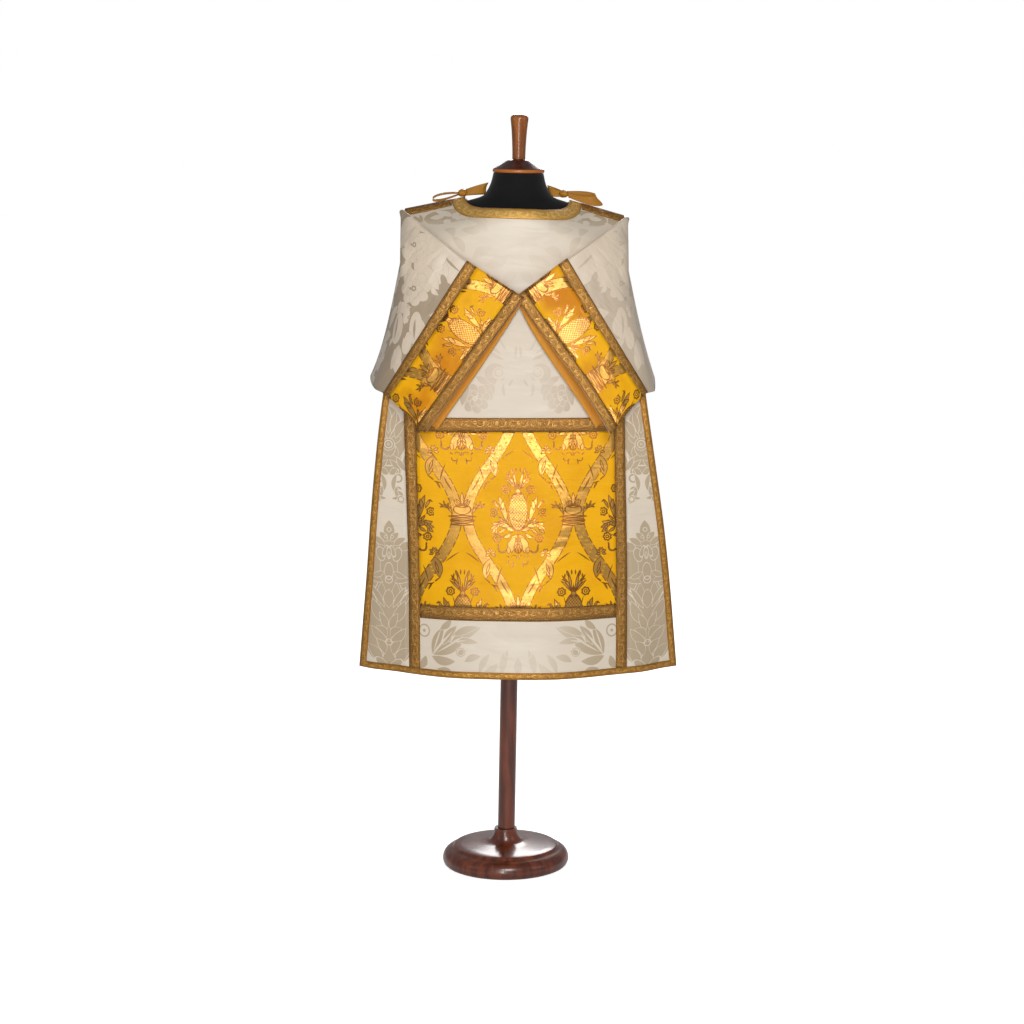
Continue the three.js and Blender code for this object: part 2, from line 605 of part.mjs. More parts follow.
const SIDES = [{ word: 'right', sign: -1 }, { word: 'left', sign: 1 }];
for (const [face, sheet] of [['front', frontSheet], ['back', backSheet]]) {
  const cloth = (name, wanted) => {
    addToGarment(name, wall(sheet, wanted, -CLOTH / 2, CLOTH / 2), 'damask');
  };
  const sewn = (name, color, wanted) => {
    addToGarment(name, wall(sheet, wanted, LAYER_1, LAYER_2), color);
  };
  cloth(`${face}_panel`, (i, j) => !isGore(j));
  const acrossPanel = (top, low) => (i, j) => isInner(j) && between(i, top, low);
  sewn(`${face}_apparel`, 'brocade', acrossPanel(APPAREL.innerTop, APPAREL.innerLow));
  sewn(`${face}_apparel_galloon_top`, 'galloon', acrossPanel(APPAREL.top, APPAREL.innerTop));
  sewn(`${face}_apparel_galloon_low`, 'galloon', acrossPanel(APPAREL.innerLow, APPAREL.low));
  sewn(`${face}_border_galloon`, 'galloon', (i, j) => isEdge(j) || below(i, BORDER_TOP_Z));
  sewn(`${face}_neck_galloon`, 'galloon', (i) => ROWS[i].neck);
  for (const { word, sign } of SIDES) {
    cloth(`${face}_gore_${word}`, (i, j) => isGore(j) && onSide(j, sign));
    const hangs = (i) => between(i, UNDERARM_Z, BORDER_TOP_Z);
    const onShoulder = (i) => ROWS[i].share === 0;
    sewn(`${face}_band_galloon_${word}`, 'galloon', (i, j) => (
      isBand(j) && onSide(j, sign) && hangs(i)
    ));
    sewn(`${face}_shoulder_galloon_${word}`, 'galloon', (i, j) => (
      pastNeck(j) && onSide(j, sign) && onShoulder(i)
    ));
  }
}

for (const [word, size] of [['right', RIGHT_SLEEVE], ['left', LEFT_SLEEVE]]) {
  const sheet = sleeveSheet(size);
  const piece = (name, color, wanted, low, high) => {
    addToGarment(`${name}_${word}`, wall(sheet, wanted, low, high), color);
  };
  piece('sleeve', 'damask', () => true, -CLOTH / 2, CLOTH / 2);
  piece('sleeve_lining', 'lining', inCuff(CUFF.from, 1), -LAYER_1 - LINING, -LAYER_1);
  piece('cuff', 'brocade', inCuff(CUFF.brocadeFrom, CUFF.brocadeTo), LAYER_1, LAYER_2);
  piece('cuff_galloon_seam', 'galloon', inCuff(CUFF.from, CUFF.brocadeFrom), LAYER_1, LAYER_2);
  piece('cuff_galloon_edge', 'galloon', inCuff(CUFF.brocadeTo, 1), LAYER_1, LAYER_2);
}

for (const bow of BOWS) {
  const knot = new THREE.SphereGeometry(1, 12, 8).scale(...bow.size).translate(...bow.knot);
  addToGarment(`${bow.name}_knot`, knot, 'ribbon');
  for (const loop of bow.loops) {
    addToGarment(`${bow.name}_loop_${loop.name}`, ribbonLoop(bow.knot, loop), 'ribbon');
  }
}

const heightOf = (profile) => profile.at(-1)[1];
const capZ = FORM_TOP_Z + WOOD_GAP;
add('form_torso', torso(), 'jersey');
add('form_cap', turned(CAP_PROFILE, capZ, true), 'wood');
add('form_finial', turned(FINIAL_PROFILE, capZ + heightOf(CAP_PROFILE) + GAP, true), 'woodLight');
add('form_base', turned(BASE_PROFILE, 0, false), 'wood');
const poleFrom = heightOf(BASE_PROFILE) + WOOD_GAP;
const poleTo = FORM_LOW_Z - POLE_GAP;
const pole = new THREE.CylinderGeometry(POLE_RADIUS, POLE_RADIUS, poleTo - poleFrom, POLE_SEGMENTS)
  .rotateX(Math.PI / 2).rotateY(Math.atan(FORM_LEAN));
const poleMiddle = (poleTo + poleFrom) / 2;
add('form_pole', pole.translate(leanAt(poleMiddle), 0, poleMiddle), 'wood');

export default group;
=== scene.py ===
# %% [markdown]
# # A tunicle on its dress form
# A tunicle is the short wide-sleeved vestment of a subdeacon. This one is cream silk
# damask with gold brocade apparels and cuffs, gold galloon on every edge and a ribbon
# bow on each shoulder. It hangs on a limbless dress form with a turned wooden foot.
#
# The solids of the frame give every place and size. Each piece of cloth below is cut
# from the same smooth surfaces as its solid, but finely enough to carry creases, and
# gets a map of the cloth in millimetres, so that weaves and patterns follow the cloth.

# %% Load the fixed frame
import json
import math

import bmesh
import bpy
from mathutils import Matrix, Vector

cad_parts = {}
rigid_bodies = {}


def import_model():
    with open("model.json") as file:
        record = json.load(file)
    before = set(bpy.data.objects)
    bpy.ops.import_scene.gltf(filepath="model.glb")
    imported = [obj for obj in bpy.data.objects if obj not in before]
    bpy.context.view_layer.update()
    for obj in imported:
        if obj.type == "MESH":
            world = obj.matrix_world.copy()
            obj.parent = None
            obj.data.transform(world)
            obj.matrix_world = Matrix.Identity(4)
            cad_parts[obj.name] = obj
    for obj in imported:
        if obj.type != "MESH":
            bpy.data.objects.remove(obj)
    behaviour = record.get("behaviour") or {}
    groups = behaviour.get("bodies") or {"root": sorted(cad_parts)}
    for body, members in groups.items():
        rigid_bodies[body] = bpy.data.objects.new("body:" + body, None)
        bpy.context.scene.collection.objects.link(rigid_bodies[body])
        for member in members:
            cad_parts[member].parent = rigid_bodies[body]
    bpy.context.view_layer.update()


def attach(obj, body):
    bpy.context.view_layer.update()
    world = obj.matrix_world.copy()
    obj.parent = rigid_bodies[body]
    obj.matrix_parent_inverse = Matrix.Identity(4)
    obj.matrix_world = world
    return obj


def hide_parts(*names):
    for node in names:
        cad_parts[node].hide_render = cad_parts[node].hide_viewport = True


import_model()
scene = bpy.context.scene
MM = 0.001

# %% [markdown]
# ## Camera, floor and light
# The garment is seen from the front, a little above its middle and from far away, so a
# long lens looks slightly down. The light is that of a plain studio: a large soft lamp
# high in front, a tall narrow one that glints in the gold, a weak one on each side, one
# behind that draws the edges, and a pale room that fills the shadows.

# %% Camera
CAMERA_PLACE = (0.0143, -5.660, 1.718)
CAMERA_PITCH = math.radians(90 - 9.2126)
CAMERA_LENS, CAMERA_SENSOR = 91.63, 36
camera_data = bpy.data.cameras.new("camera")
camera_data.lens = CAMERA_LENS
camera_data.sensor_width = CAMERA_SENSOR
camera = bpy.data.objects.new("camera", camera_data)
camera.location = CAMERA_PLACE
camera.rotation_euler = (CAMERA_PITCH, 0, 0)
scene.collection.objects.link(camera)
scene.camera = camera


# %% Floor and lamps
FLOOR_HALF = 30
ROOM_SEEN, ROOM_LIGHT = 1.0, 0.24
CHEST = Vector((0, 0, 1.1))


def plain_material(name, color, roughness):
    material = bpy.data.materials.new(name)
    material.use_nodes = True
    shader = material.node_tree.nodes["Principled BSDF"]
    shader.inputs["Base Color"].default_value = (*color, 1)
    shader.inputs["Roughness"].default_value = roughness
    return material


def object_of(name, bm, material):
    """Turns a finished bmesh into an object at the origin."""
    mesh = bpy.data.meshes.new(name)
    bm.to_mesh(mesh)
    bm.free()
    mesh.materials.append(material)
    obj = bpy.data.objects.new(name, mesh)
    scene.collection.objects.link(obj)
    return obj


floor_bm = bmesh.new()
bmesh.ops.create_grid(floor_bm, x_segments=1, y_segments=1, size=FLOOR_HALF)
floor_paper = plain_material("white_paper", (0.9, 0.9, 0.9), 0.8)
paper_shader = floor_paper.node_tree.nodes["Principled BSDF"]
paper_shader.inputs["Emission Color"].default_value = (0.8, 0.8, 0.8, 1)
seen_directly = floor_paper.node_tree.nodes.new("ShaderNodeLightPath").outputs["Is Camera Ray"]
floor_paper.node_tree.links.new(seen_directly, paper_shader.inputs["Emission Strength"])
floor = object_of("floor", floor_bm, floor_paper)

scene.view_settings.view_transform = "Standard"
world = bpy.data.worlds.new("pale_room")
world.use_nodes = True
world_nodes = world.node_tree.nodes
seen_by = world_nodes.new("ShaderNodeLightPath").outputs["Is Camera Ray"]
strength = world_nodes.new("ShaderNodeMapRange")
strength.inputs["To Min"].default_value = ROOM_LIGHT
strength.inputs["To Max"].default_value = ROOM_SEEN
world.node_tree.links.new(seen_by, strength.inputs["Value"])
world.node_tree.links.new(strength.outputs[0], world_nodes["Background"].inputs["Strength"])
world_nodes["Background"].inputs["Color"].default_value = (1, 1, 1, 1)
scene.world = world

LAMPS = [
    # name, place, power, width and height; each points at the chest
    ("key", (0.35, -4.2, 2.8), 76, 1.2, 1.2),
    ("strip", (-0.5, -5.4, 1.25), 56, 0.22, 2.6),
    ("side_right", (-3.2, -1.6, 1.9), 3.5, 1.4, 1.4),
    ("side_left", (3.2, -1.6, 1.9), 5, 1.4, 1.4),
    ("behind", (0.4, 3.6, 2.6), 60, 1.6, 1.6),
]
for name, place, power, width, height in LAMPS:
    lamp_data = bpy.data.lights.new(name, "AREA")
    lamp_data.shape = "RECTANGLE"
    lamp_data.energy = power
    lamp_data.size, lamp_data.size_y = width, height
    lamp = bpy.data.objects.new(name, lamp_data)
    lamp.location = place
    lamp.rotation_euler = (CHEST - Vector(place)).to_track_quat("-Z", "Y").to_euler()
    scene.collection.objects.link(lamp)

# %% [markdown]
# ## The surfaces of the garment
# A panel hangs from the shoulder line. Near the line it rolls over the shoulder, and
# below that it falls almost straight, a little further out in the middle than at the
# sides. Working with this surface as a function, instead of pulling a mesh about by
# hand, lets every layer that is sewn on a panel lie at its true distance from it.

# %% Small helpers
def mix(a, b, t):
    return a + (b - a) * t


def clamp(value, low, high):
    return max(low, min(high, value))


def ease(value, low=0.0, high=1.0):
    t = clamp((value - low) / (high - low), 0, 1)
    return t * t * (3 - 2 * t)


def curve_through(at, values):
    """A smooth curve through the values that never overshoots them."""
    slopes = [(values[i + 1] - values[i]) / (at[i + 1] - at[i]) for i in range(len(at) - 1)]
    tangents = [slopes[0]]
    for before, after in zip(slopes, slopes[1:]):
        tangents.append(0 if before * after <= 0 else 2 / (1 / before + 1 / after))
    tangents.append(slopes[-1])

    def value_at(x):
        i = 0
        while i < len(at) - 2 and x >= at[i + 1]:
            i += 1
        width = at[i + 1] - at[i]
        t = clamp((x - at[i]) / width, 0, 1)
        bend = width * t * (1 - t) * ((1 - t) * tangents[i] - t * tangents[i + 1])
        return mix(values[i], values[i + 1], t * t * (3 - 2 * t)) + bend

    return value_at


# %% Sizes of the panels, in millimetres from the garment's own middle line
GARMENT_X = 27.5
CLOTH, BRAID, LINING, GAP = 2.0, 1.2, 0.8, 0.3
SEWN_ON = CLOTH / 2 + GAP + BRAID / 2
PANEL_HALF, BAND_INNER = 236, 212
NECK_HALF, NECK_BRAID = 112, 27
SHOULDER_TOP, SHOULDER_SLOPE, SHOULDER_ROUND, SHOULDER_LEAN = 1512, 0.25, 60, 0.031
SHOULDER_SLIT = 3
HEM_Z, BORDER, GORE_TOP_Z, UNDERARM_Z = 461, 15, 1088, 1120
APPAREL_TOP, APPAREL_INNER_TOP, APPAREL_INNER_LOW, APPAREL_LOW = 1025, 995, 617, 587
# The bow of a panel is given at BOW_AT from its middle; ROLL_SLOPE and ROLL_HEIGHT shape the
# roll over the shoulder in the middle, and each panel has its own at the sides.
BOW_AT, ROLL_SLOPE, ROLL_HEIGHT = 218, 0.05, 70
SWAY, SWAY_LOW, SWAY_HIGH = 8, 620, 1060
SKIRT_TOP, SKIRT_LOW, SKIRT_TOP_WIDTH = 980, 470, 0.86


class Panel:
    """One face of the garment: how far it stands from the shoulder line at each height."""

    def __init__(self, side, slope_end, roll_end, neck_depth, neck_step, heights, depths, bows):
        self.side, self.slope_end, self.roll_end = side, slope_end, roll_end
        self.neck_depth, self.neck_step = neck_depth, neck_step
        self.depth_at = curve_through(heights, depths)
        self.bow_at = curve_through(heights, bows)

    def hang_depth(self, x, z):
        return self.depth_at(z) - self.bow_at(z) * (x / BOW_AT) ** 2

    def roll(self, x):
        share = min(1, abs(x) / PANEL_HALF)
        reach = self.hang_depth(x, SHOULDER_TOP) - SHOULDER_SLIT
        slope = mix(ROLL_SLOPE, self.slope_end, ease(share))
        return reach, slope * reach, mix(ROLL_HEIGHT, self.roll_end, share**2)


FRONT = Panel(
    -1, 0.68, 128, 113, 0.2,
    [440, 600, 800, 1010, 1120, 1240, 1320, 1440],
    [175, 160, 145, 134, 131, 129, 127, 127],
    [58, 46, 28, 14, 22, 34, 38, 38],
)
BACK = Panel(
    1, 0.68, 128, 90, 0.22,
    [440, 600, 800, 1010, 1120, 1240, 1320, 1440],
    [150, 140, 130, 123, 121, 120, 119, 119],
    [46, 36, 24, 17, 22, 29, 32, 32],
)
gore_edge = curve_through(
    [461, 613, 794, 950, 1060, 1088], [349, 335, 317, 298, 283, 279]
)


# %% The panel surface, and the way the whole top leans to one side
def shoulder_z(x):
    away = math.hypot(x, SHOULDER_ROUND) - SHOULDER_ROUND / 4
    return SHOULDER_TOP - SHOULDER_SLOPE * away - SHOULDER_LEAN * x


def swayed(p):
    share = min(1, abs(p.x) / PANEL_HALF) ** 2
    return Vector((p.x - SWAY * share * ease(p.z, SWAY_LOW, SWAY_HIGH), p.y, p.z))


# Soft creases: middle x, z, half width, half height, tilt in degrees, depth in millimetres.
CREASES = {
    -1: [
        (-215, 760, 60, 9, 6, -2.0), (-130, 712, 75, 7, -5, -1.6), (60, 738, 110, 9, 9, -2.4),
        (150, 790, 80, 8, 3, 2.0), (170, 720, 70, 9, 14, -2.2), (-60, 660, 90, 8, -4, -1.5),
        (120, 660, 80, 9, 8, 1.8), (-283, 822, 60, 4, 1, -2.0), (292, 822, 60, 4, -1, -2.0),
        (-280, 640, 40, 26, -8, 1.8), (296, 600, 40, 24, 10, 1.8), (0, 545, 150, 10, 2, -1.3),
        (-110, 1180, 60, 12, -24, 1.2), (118, 1195, 60, 12, 24, 1.2),
        (-128, 1420, 52, 11, 30, -1.4), (126, 1414, 52, 11, -30, -1.4),
        (0, 1352, 80, 10, 0, -1.2), (26, 1120, 70, 12, -12, 1.0),
    ],
    1: [
        (-90, 1290, 80, 13, -14, 2.0), (110, 1250, 90, 13, 12, 2.0), (-120, 820, 90, 9, -6, -2.2),
        (90, 740, 90, 9, 5, -2.2), (0, 545, 150, 10, -2, -1.3), (-285, 800, 60, 4, 0, -2.0),
        (290, 812, 60, 4, 0, -2.0), (20, 1080, 100, 11, 4, 1.6),
    ],
}
# Long soft folds down the skirt: middle x at the hem, half width, height in millimetres.
SKIRT_FOLDS = {
    -1: [
        (-322, 24, 5), (-262, 30, -4), (-150, 46, 3.5), (-40, 60, -2.5), (84, 50, 3.5),
        (196, 40, -3), (268, 26, 4.5), (318, 22, -4),
    ],
    1: [
        (-310, 28, 5), (-240, 34, -5), (-120, 50, 4.5), (0, 60, -4), (110, 46, 4),
        (205, 38, -4.5), (290, 28, 5),
    ],
}


def fold_depth(panel, x, z):
    """How far the cloth stands out from its smooth form at a point."""
    depth = 0
    down = ease(z, SKIRT_TOP, SKIRT_LOW)
    for middle, half, height in SKIRT_FOLDS[panel.side]:
        away = (x - middle * mix(SKIRT_TOP_WIDTH, 1, down)) / half
        depth += height * down * math.exp(-away * away)
    for cx, cz, half, tall, tilt, height in CREASES[panel.side]:
        # Further away than this a crease has died out.
        if abs(x - cx) < 2.5 * half + 30 and abs(z - cz) < 2.5 * (half + tall):
            c, s = math.cos(math.radians(tilt)), math.sin(math.radians(tilt))
            a = ((x - cx) * c + (z - cz) * s) / half
            b = (-(x - cx) * s + (z - cz) * c) / tall
            depth += height * math.exp(-a * a - b * b)
    return depth


def panel_point(panel, x, down):
    """down runs from 0 to 1 over the shoulder, and then one per millimetre of fall."""
    reach, lead, height = panel.roll(x)
    if down <= 1:
        y = SHOULDER_SLIT + reach * (2 - down) * down
        z = shoulder_z(x) - 2 * down * (1 - down) * lead - down * down * height
        y += fold_depth(panel, x, z) * down
    else:
        z = shoulder_z(x) - height - (down - 1)
        y = panel.hang_depth(x, z) + fold_depth(panel, x, z)
    return swayed(Vector((x, panel.side * y, z)))


def down_at(panel, x, z):
    """The down value at which the hanging part has height z."""
    return 1 + shoulder_z(x) - panel.roll(x)[2] - z


def cloth_height(panel, x, down):
    """The height a point of cloth would have if the shoulder were laid flat."""
    reach, lead, height = panel.roll(x)
    low = shoulder_z(x) - height
    if down > 1:
        return low - (down - 1)
    steps = 6
    run = 0
    before = None
    for k in range(steps + 1):
        t = mix(down, 1, k / steps)
        here = (reach * (2 - t) * t, 2 * t * (1 - t) * lead + t * t * height)
        if before:
            run += math.hypot(here[0] - before[0], here[1] - before[1])
        before = here
    return low + run


def panel_normal(panel, x, down):
    step_x, step_d = 1.5, (0.01 if down < 0.99 else 1.5)
    across = panel_point(panel, x + step_x, down) - panel_point(panel, x - step_x, down)
    low, high = max(0, down - step_d), down + step_d
    fall = panel_point(panel, x, high) - panel_point(panel, x, low)
    return across.cross(fall).normalized() * (1 if panel.side > 0 else -1)


def on_panel(panel, x, down, level):
    """A point on a layer that lies level millimetres outside the middle of the cloth."""
    p = panel_point(panel, x, down)
    return p + panel_normal(panel, x, down) * level if level else p


# %% [markdown]
# ## Cutting pieces of cloth
# Each piece starts as a plain grid. Its vertices are then laid on the surface, and its
# map keeps the place of each point on the flat cloth, in millimetres. A Solidify
# modifier gives the cloth its thickness on both sides of that sheet, so the layers
# keep the gaps that their solids have.

# %% A grid laid on a surface
def laid_grid(name, across, down, place, material, thickness, flip=False):
    """place(i, j) gives the point and its spot on the cloth's map, i across and j down."""
    bm = bmesh.new()
    bmesh.ops.create_grid(bm, x_segments=across, y_segments=down, size=0.5)
    cloth_map = bm.loops.layers.uv.new("cloth")
    spots = {}
    for v in bm.verts:
        i, j = round((v.co.x + 0.5) * across), round((0.5 - v.co.y) * down)
        point, spots[v] = place(i, j)
        v.co = (point + Vector((GARMENT_X, 0, 0))) * MM
    for face in bm.faces:
        for loop in face.loops:
            loop[cloth_map].uv = spots[loop.vert]
        face.smooth = True
    if flip:
        bmesh.ops.reverse_faces(bm, faces=bm.faces[:])
    obj = object_of(name, bm, material)
    thick = obj.modifiers.new("cloth thickness", "SOLIDIFY")
    thick.thickness = thickness * MM
    thick.offset = 0
    return obj


def finish_cloth(obj, node):
    """Attaches the piece to the frame and hides the solid that it stands for."""
    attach(obj, "root")
    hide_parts(node)


# %% [markdown]
# ## Drawing woven figures with shader nodes
# A woven figure is a change of weave inside a drawn outline. Here each figure is a
# short chart of leaves, ovals, rings and discs in millimetres of cloth. A node group
# lays them over each other in order, as a painter would, and puts out how
# deep a point lies inside the topmost shape. One field like that gives the figure, its
# outlines and its relief, stays sharp at any distance, and needs no picture.

# %% Short words for adding nodes
class Nodes:
    """Adds nodes to a tree; inputs may be numbers, colours or other nodes' outputs."""

    def __init__(self, tree):
        self.tree = tree

    def give(self, place, value):
        """Links a socket to another node's output, or sets it to a plain value."""
        if isinstance(value, bpy.types.NodeSocket):
            self.tree.links.new(value, place)
        else:
            place.default_value = value

    def add(self, kind, inputs=(), **settings):
        node = self.tree.nodes.new(kind)
        for name, value in settings.items():
            setattr(node, name, value)
        pairs = inputs.items() if isinstance(inputs, dict) else enumerate(inputs)
        for place, value in pairs:
            self.give(node.inputs[place], value)
        return node

    def math(self, operation, *values, clamped=False):
        return self.add("ShaderNodeMath", values, operation=operation, use_clamp=clamped).outputs[0]

    def vector(self, operation, *values):
        node = self.add("ShaderNodeVectorMath", values, operation=operation)
        return node.outputs["Value" if operation in ("DISTANCE", "DOT_PRODUCT") else "Vector"]

    def split(self, vector):
        """The x, y and z of a vector."""
        return self.add("ShaderNodeSeparateXYZ", [vector]).outputs

    def noise(self, place, scale, detail, roughness=0.5, distortion=0.0):
        values = {
            "Vector": place, "Scale": scale, "Detail": detail, "Roughness": roughness,
            "Distortion": distortion,
        }
        return self.add("ShaderNodeTexNoise", values).outputs[0]

    def step(self, value, low, high):
        """Rises smoothly from 0 at low to 1 at high."""
        return self.add(
            "ShaderNodeMapRange", [value, low, high, 0.0, 1.0], interpolation_type="SMOOTHSTEP"
        ).outputs[0]

    def blend(self, share, a, b):
        node = self.add("ShaderNodeMix", data_type="RGBA")
        self.give(node.inputs[0], share)
        for place, color in ((6, a), (7, b)):
            plain = not isinstance(color, bpy.types.NodeSocket)
            self.give(node.inputs[place], (*color, 1) if plain else color)
        return node.outputs[2]

    def apart(self, a, b):
        """How far two values are from each other."""
        return self.math("ABSOLUTE", self.math("SUBTRACT", a, b))

    def inside(self, depth):
        """1 inside a shape and 0 outside it, over an edge of 0.7 millimetres."""
        return self.math("MULTIPLY_ADD", depth, 1.4, 0.5, clamped=True)

    def lay_over(self, under, over, share):
        """One value where share is 0, and another laid over it where share is 1."""
        return self.math("MULTIPLY_ADD", self.math("SUBTRACT", over, under), share, under)


def new_group(name, inputs, outputs):
    group = bpy.data.node_groups.new(name, "ShaderNodeTree")
    for label, kind, default in inputs:
        made = group.interface.new_socket(label, in_out="INPUT", socket_type=f"NodeSocket{kind}")
        if default is not None:
            made.default_value = default
    for label, kind in outputs:
        group.interface.new_socket(label, in_out="OUTPUT", socket_type=f"NodeSocket{kind}")
    nodes = Nodes(group)
    return nodes, nodes.add("NodeGroupInput").outputs, nodes.add("NodeGroupOutput").inputs


# %% A chart of shapes as one field of depth
# leaf: base x and y, direction in degrees, length, half width, bend
# oval: middle x and y, direction, length, half width; ring: x, y, radius, half thickness
# disc: x, y, radius; arc: a ring's numbers, then the direction of the half kept
# rosette: a ring's numbers, then how many petals scallop it
# "cut" before the kind takes the shape away and leaves the ground there
def shape_depth(n, spot, shape):
    kind, x, y, *size = shape
    kind = kind.removeprefix("cut ")
    if kind in ("leaf", "oval"):
        return long_shape_depth(n, spot, kind, x, y, *size)
    away = n.vector("DISTANCE", spot, (x, y, 1))
    if kind == "disc":
        return n.math("SUBTRACT", size[0], away)
    radius, half = size[:2]
    if kind == "rosette":
        sides = n.split(n.vector("SUBTRACT", spot, (x, y, 1)))
        angle = n.math("MULTIPLY", n.math("ARCTAN2", sides[1], sides[0]), size[2] / 2)
        petals = n.math("MULTIPLY", n.math("ABSOLUTE", n.math("COSINE", angle)), radius * 0.24)
        radius = n.math("ADD", petals, radius * 0.85)
    ring = n.math("SUBTRACT", half, n.apart(away, radius))
    if kind != "arc":
        return ring
    turn = math.radians(size[2])
    keep = (math.cos(turn), math.sin(turn), -x * math.cos(turn) - y * math.sin(turn))
    return n.math("MINIMUM", ring, n.vector("DOT_PRODUCT", spot, keep))


def long_shape_depth(n, spot, kind, x, y, turn, length, half, bend=0):
    c, s = math.cos(math.radians(turn)), math.sin(math.radians(turn))
    if kind == "leaf":
        x, y = x + c * length / 2, y + s * length / 2
    along_row = (2 * c / length, 2 * s / length, -2 * (x * c + y * s) / length)
    across_row = (-s / half, c / half, (x * s - y * c) / half)
    along = n.vector("DOT_PRODUCT", spot, along_row)
    across = n.vector("DOT_PRODUCT", spot, across_row)
    square = n.math("MULTIPLY", along, along)
    if kind == "oval":
        from_middle = n.math("SQRT", n.math("MULTIPLY_ADD", across, across, square))
        return n.math("MULTIPLY_ADD", from_middle, -half, half)
    if bend:
        across = n.math("MULTIPLY_ADD", square, bend, across)
    total = n.math("ADD", square, n.math("ABSOLUTE", across))
    return n.math("MULTIPLY_ADD", total, -half, half)


RUN = 6


def spot_after(n, u, v, depth):
    """The place u, v and 1, where the 1 is worked out from the depth so far.

    The renderer holds few values at once, so each run of shapes waits for the run before
    it: depth is always more than -1000, but that is known only after that run.
    """
    one = n.math("GREATER_THAN", depth, -1000.0)
    return n.add("ShaderNodeCombineXYZ", [u, v, one]).outputs[0]


def paint(n, u, v, chart, depth):
    """Lays the shapes of a chart over what is there, and returns the new depth."""
    for k, shape in enumerate(chart):
        if k % RUN == 0:
            spot = spot_after(n, u, v, depth)
        own = shape_depth(n, spot, shape)
        inside = n.inside(own)
        if shape[0].startswith("cut"):
            own = n.math("MULTIPLY", own, -1.0)
        depth = n.lay_over(depth, own, inside)
    return depth


def cloth_spot(n):
    return n.add("ShaderNodeUVMap", uv_map="cloth").outputs[0]


def object_spot(n):
    return n.add("ShaderNodeTexCoord").outputs["Object"]


# %% [markdown]
# ## The brocade
# The brocade is a Gothic design that vestment weavers have used for centuries: gold bands
# cross under small crowns and enclose a pomegranate with leaves and rosettes. It
# mirrors about each axis and drops by half a repeat from one axis to the next, so
# a quarter of the repeat is charted, and folding the cloth's map gives the rest.

# %% Brocade chart, in millimetres from the pomegranate's middle
BROCADE_WIDTH, BROCADE_HEIGHT = 238, 443
BROCADE_MIDDLE_Z = 816


def rosette(x, y, r):
    return [("rosette", x, y, r * 0.78, r * 0.2, 7), ("ring", x, y, r * 0.3, r * 0.13)]


BEHIND = [
    ("leaf", 1, -36, 41, 66, 1.2), ("leaf", 4, -32, -25, 44, 1.2, 0.4),
    ("leaf", 12, 16, 72, 34, 1.2), *rosette(26, 56, 10), *rosette(53, 6, 10),
    *rosette(45, -49, 10), ("leaf", 21, -16, 64, 26, 5, -0.2), ("leaf", 23, -14, 73, 60, 7, 0.2),
    ("leaf", 34, 10, 95, 24, 5, -0.3), ("leaf", 40, 12, 60, 26, 3.5, 0.4),
    ("leaf", 47, 32, -20, 12, 2, 0.6), ("leaf", 6, -36, 30, 30, 5, -0.3),
    ("leaf", 18, -26, 22, 30, 6.5, -0.4), ("leaf", 30, -22, 8, 28, 6, -0.5),
    ("leaf", 36, -20, -25, 26, 5.5, -0.5), ("leaf", 42, -22, -52, 24, 4.5, -0.5),
    ("leaf", 26, -28, -35, 20, 4, -0.4), ("leaf", 30, -16, 50, 18, 3, 0.4),
    ("leaf", 48, -28, -100, 14, 3, -0.4),
]
POMEGRANATE = ("oval", 0, 9, 90, 88, 21)
BEFORE = [
    ("leaf", 0, 44, 90, 26, 4.5), ("leaf", 0, 54, 100, 50, 4, 0.4),
    ("leaf", 3, 56, 79, 48, 3.5, 0.3), ("leaf", 3, 56, 60, 44, 3.5, 0.5),
    ("leaf", 3, 56, 46, 36, 3, 0.5), ("leaf", 12, 78, 22, 16, 2, 0.6),
    ("leaf", 10, 86, 70, 18, 2.5, -0.4), ("leaf", 20, 84, 100, 12, 2, 0.4),
    ("leaf", 4, 92, 88, 12, 2), ("disc", 0, 52, 6), ("oval", 0, 46, 0, 16, 3),
    ("leaf", 3, -38, -62, 34, 7, 0.5), ("leaf", 10, -44, -78, 38, 9, 0.5),
    ("leaf", 14, -40, -30, 20, 5, -0.5), ("leaf", 22, -66, -100, 18, 5, -0.3),
    ("arc", 34, -72, 8, 2.2, -70), ("leaf", 41, -72, 80, 12, 2, 0.5),
    ("leaf", 0, -44, -90, 40, 3), ("leaf", 3, -52, -78, 28, 4, 0.5),
    ("leaf", 1, -60, -60, 18, 3, 0.5), ("leaf", 0, -84, 50, 14, 2, -0.8),
    ("leaf", 0, -84, -90, 12, 1.6), ("arc", 9, -92, 6, 1.1, 110), ("arc", 15, -99, 6, 1.2, -70),
    ("leaf", 9, -98, -80, 16, 1.6, 0.6), ("leaf", 18, -92, 40, 9, 1.6, 0.5),
]
CROWN_Z = BROCADE_HEIGHT / 2
CROWN = [
    (kind, x, sign * CROWN_Z + y, *size)
    for sign in (1, -1)
    for kind, x, y, *size in (
        ("leaf", 18, 2, 52, 30, 3.5, 0.6), ("leaf", 26, 12, 28, 28, 2.6, -0.4),
        ("leaf", 30, 14, 95, 13, 2.6, 0.3), ("leaf", 36, 20, 75, 12, 2.4, 0.3),
        ("leaf", 38, 18, -10, 10, 2.2), ("leaf", 8, 16, 62, 20, 3, 0.4),
        ("oval", 0, 12, 0, 40, 12), ("leaf", 0, 20, 90, 30, 5), ("leaf", 2, 22, 50, 18, 3, 0.5),
        ("oval", 0, 18, 0, 26, 3), ("oval", 0, -3, 0, 64, 3), ("oval", 0, -20.5, 0, 50, 3),
        ("oval", 0, -12, 0, 54, 6.5), ("oval", 0, -12, 0, 40, 2.5),
    )
]
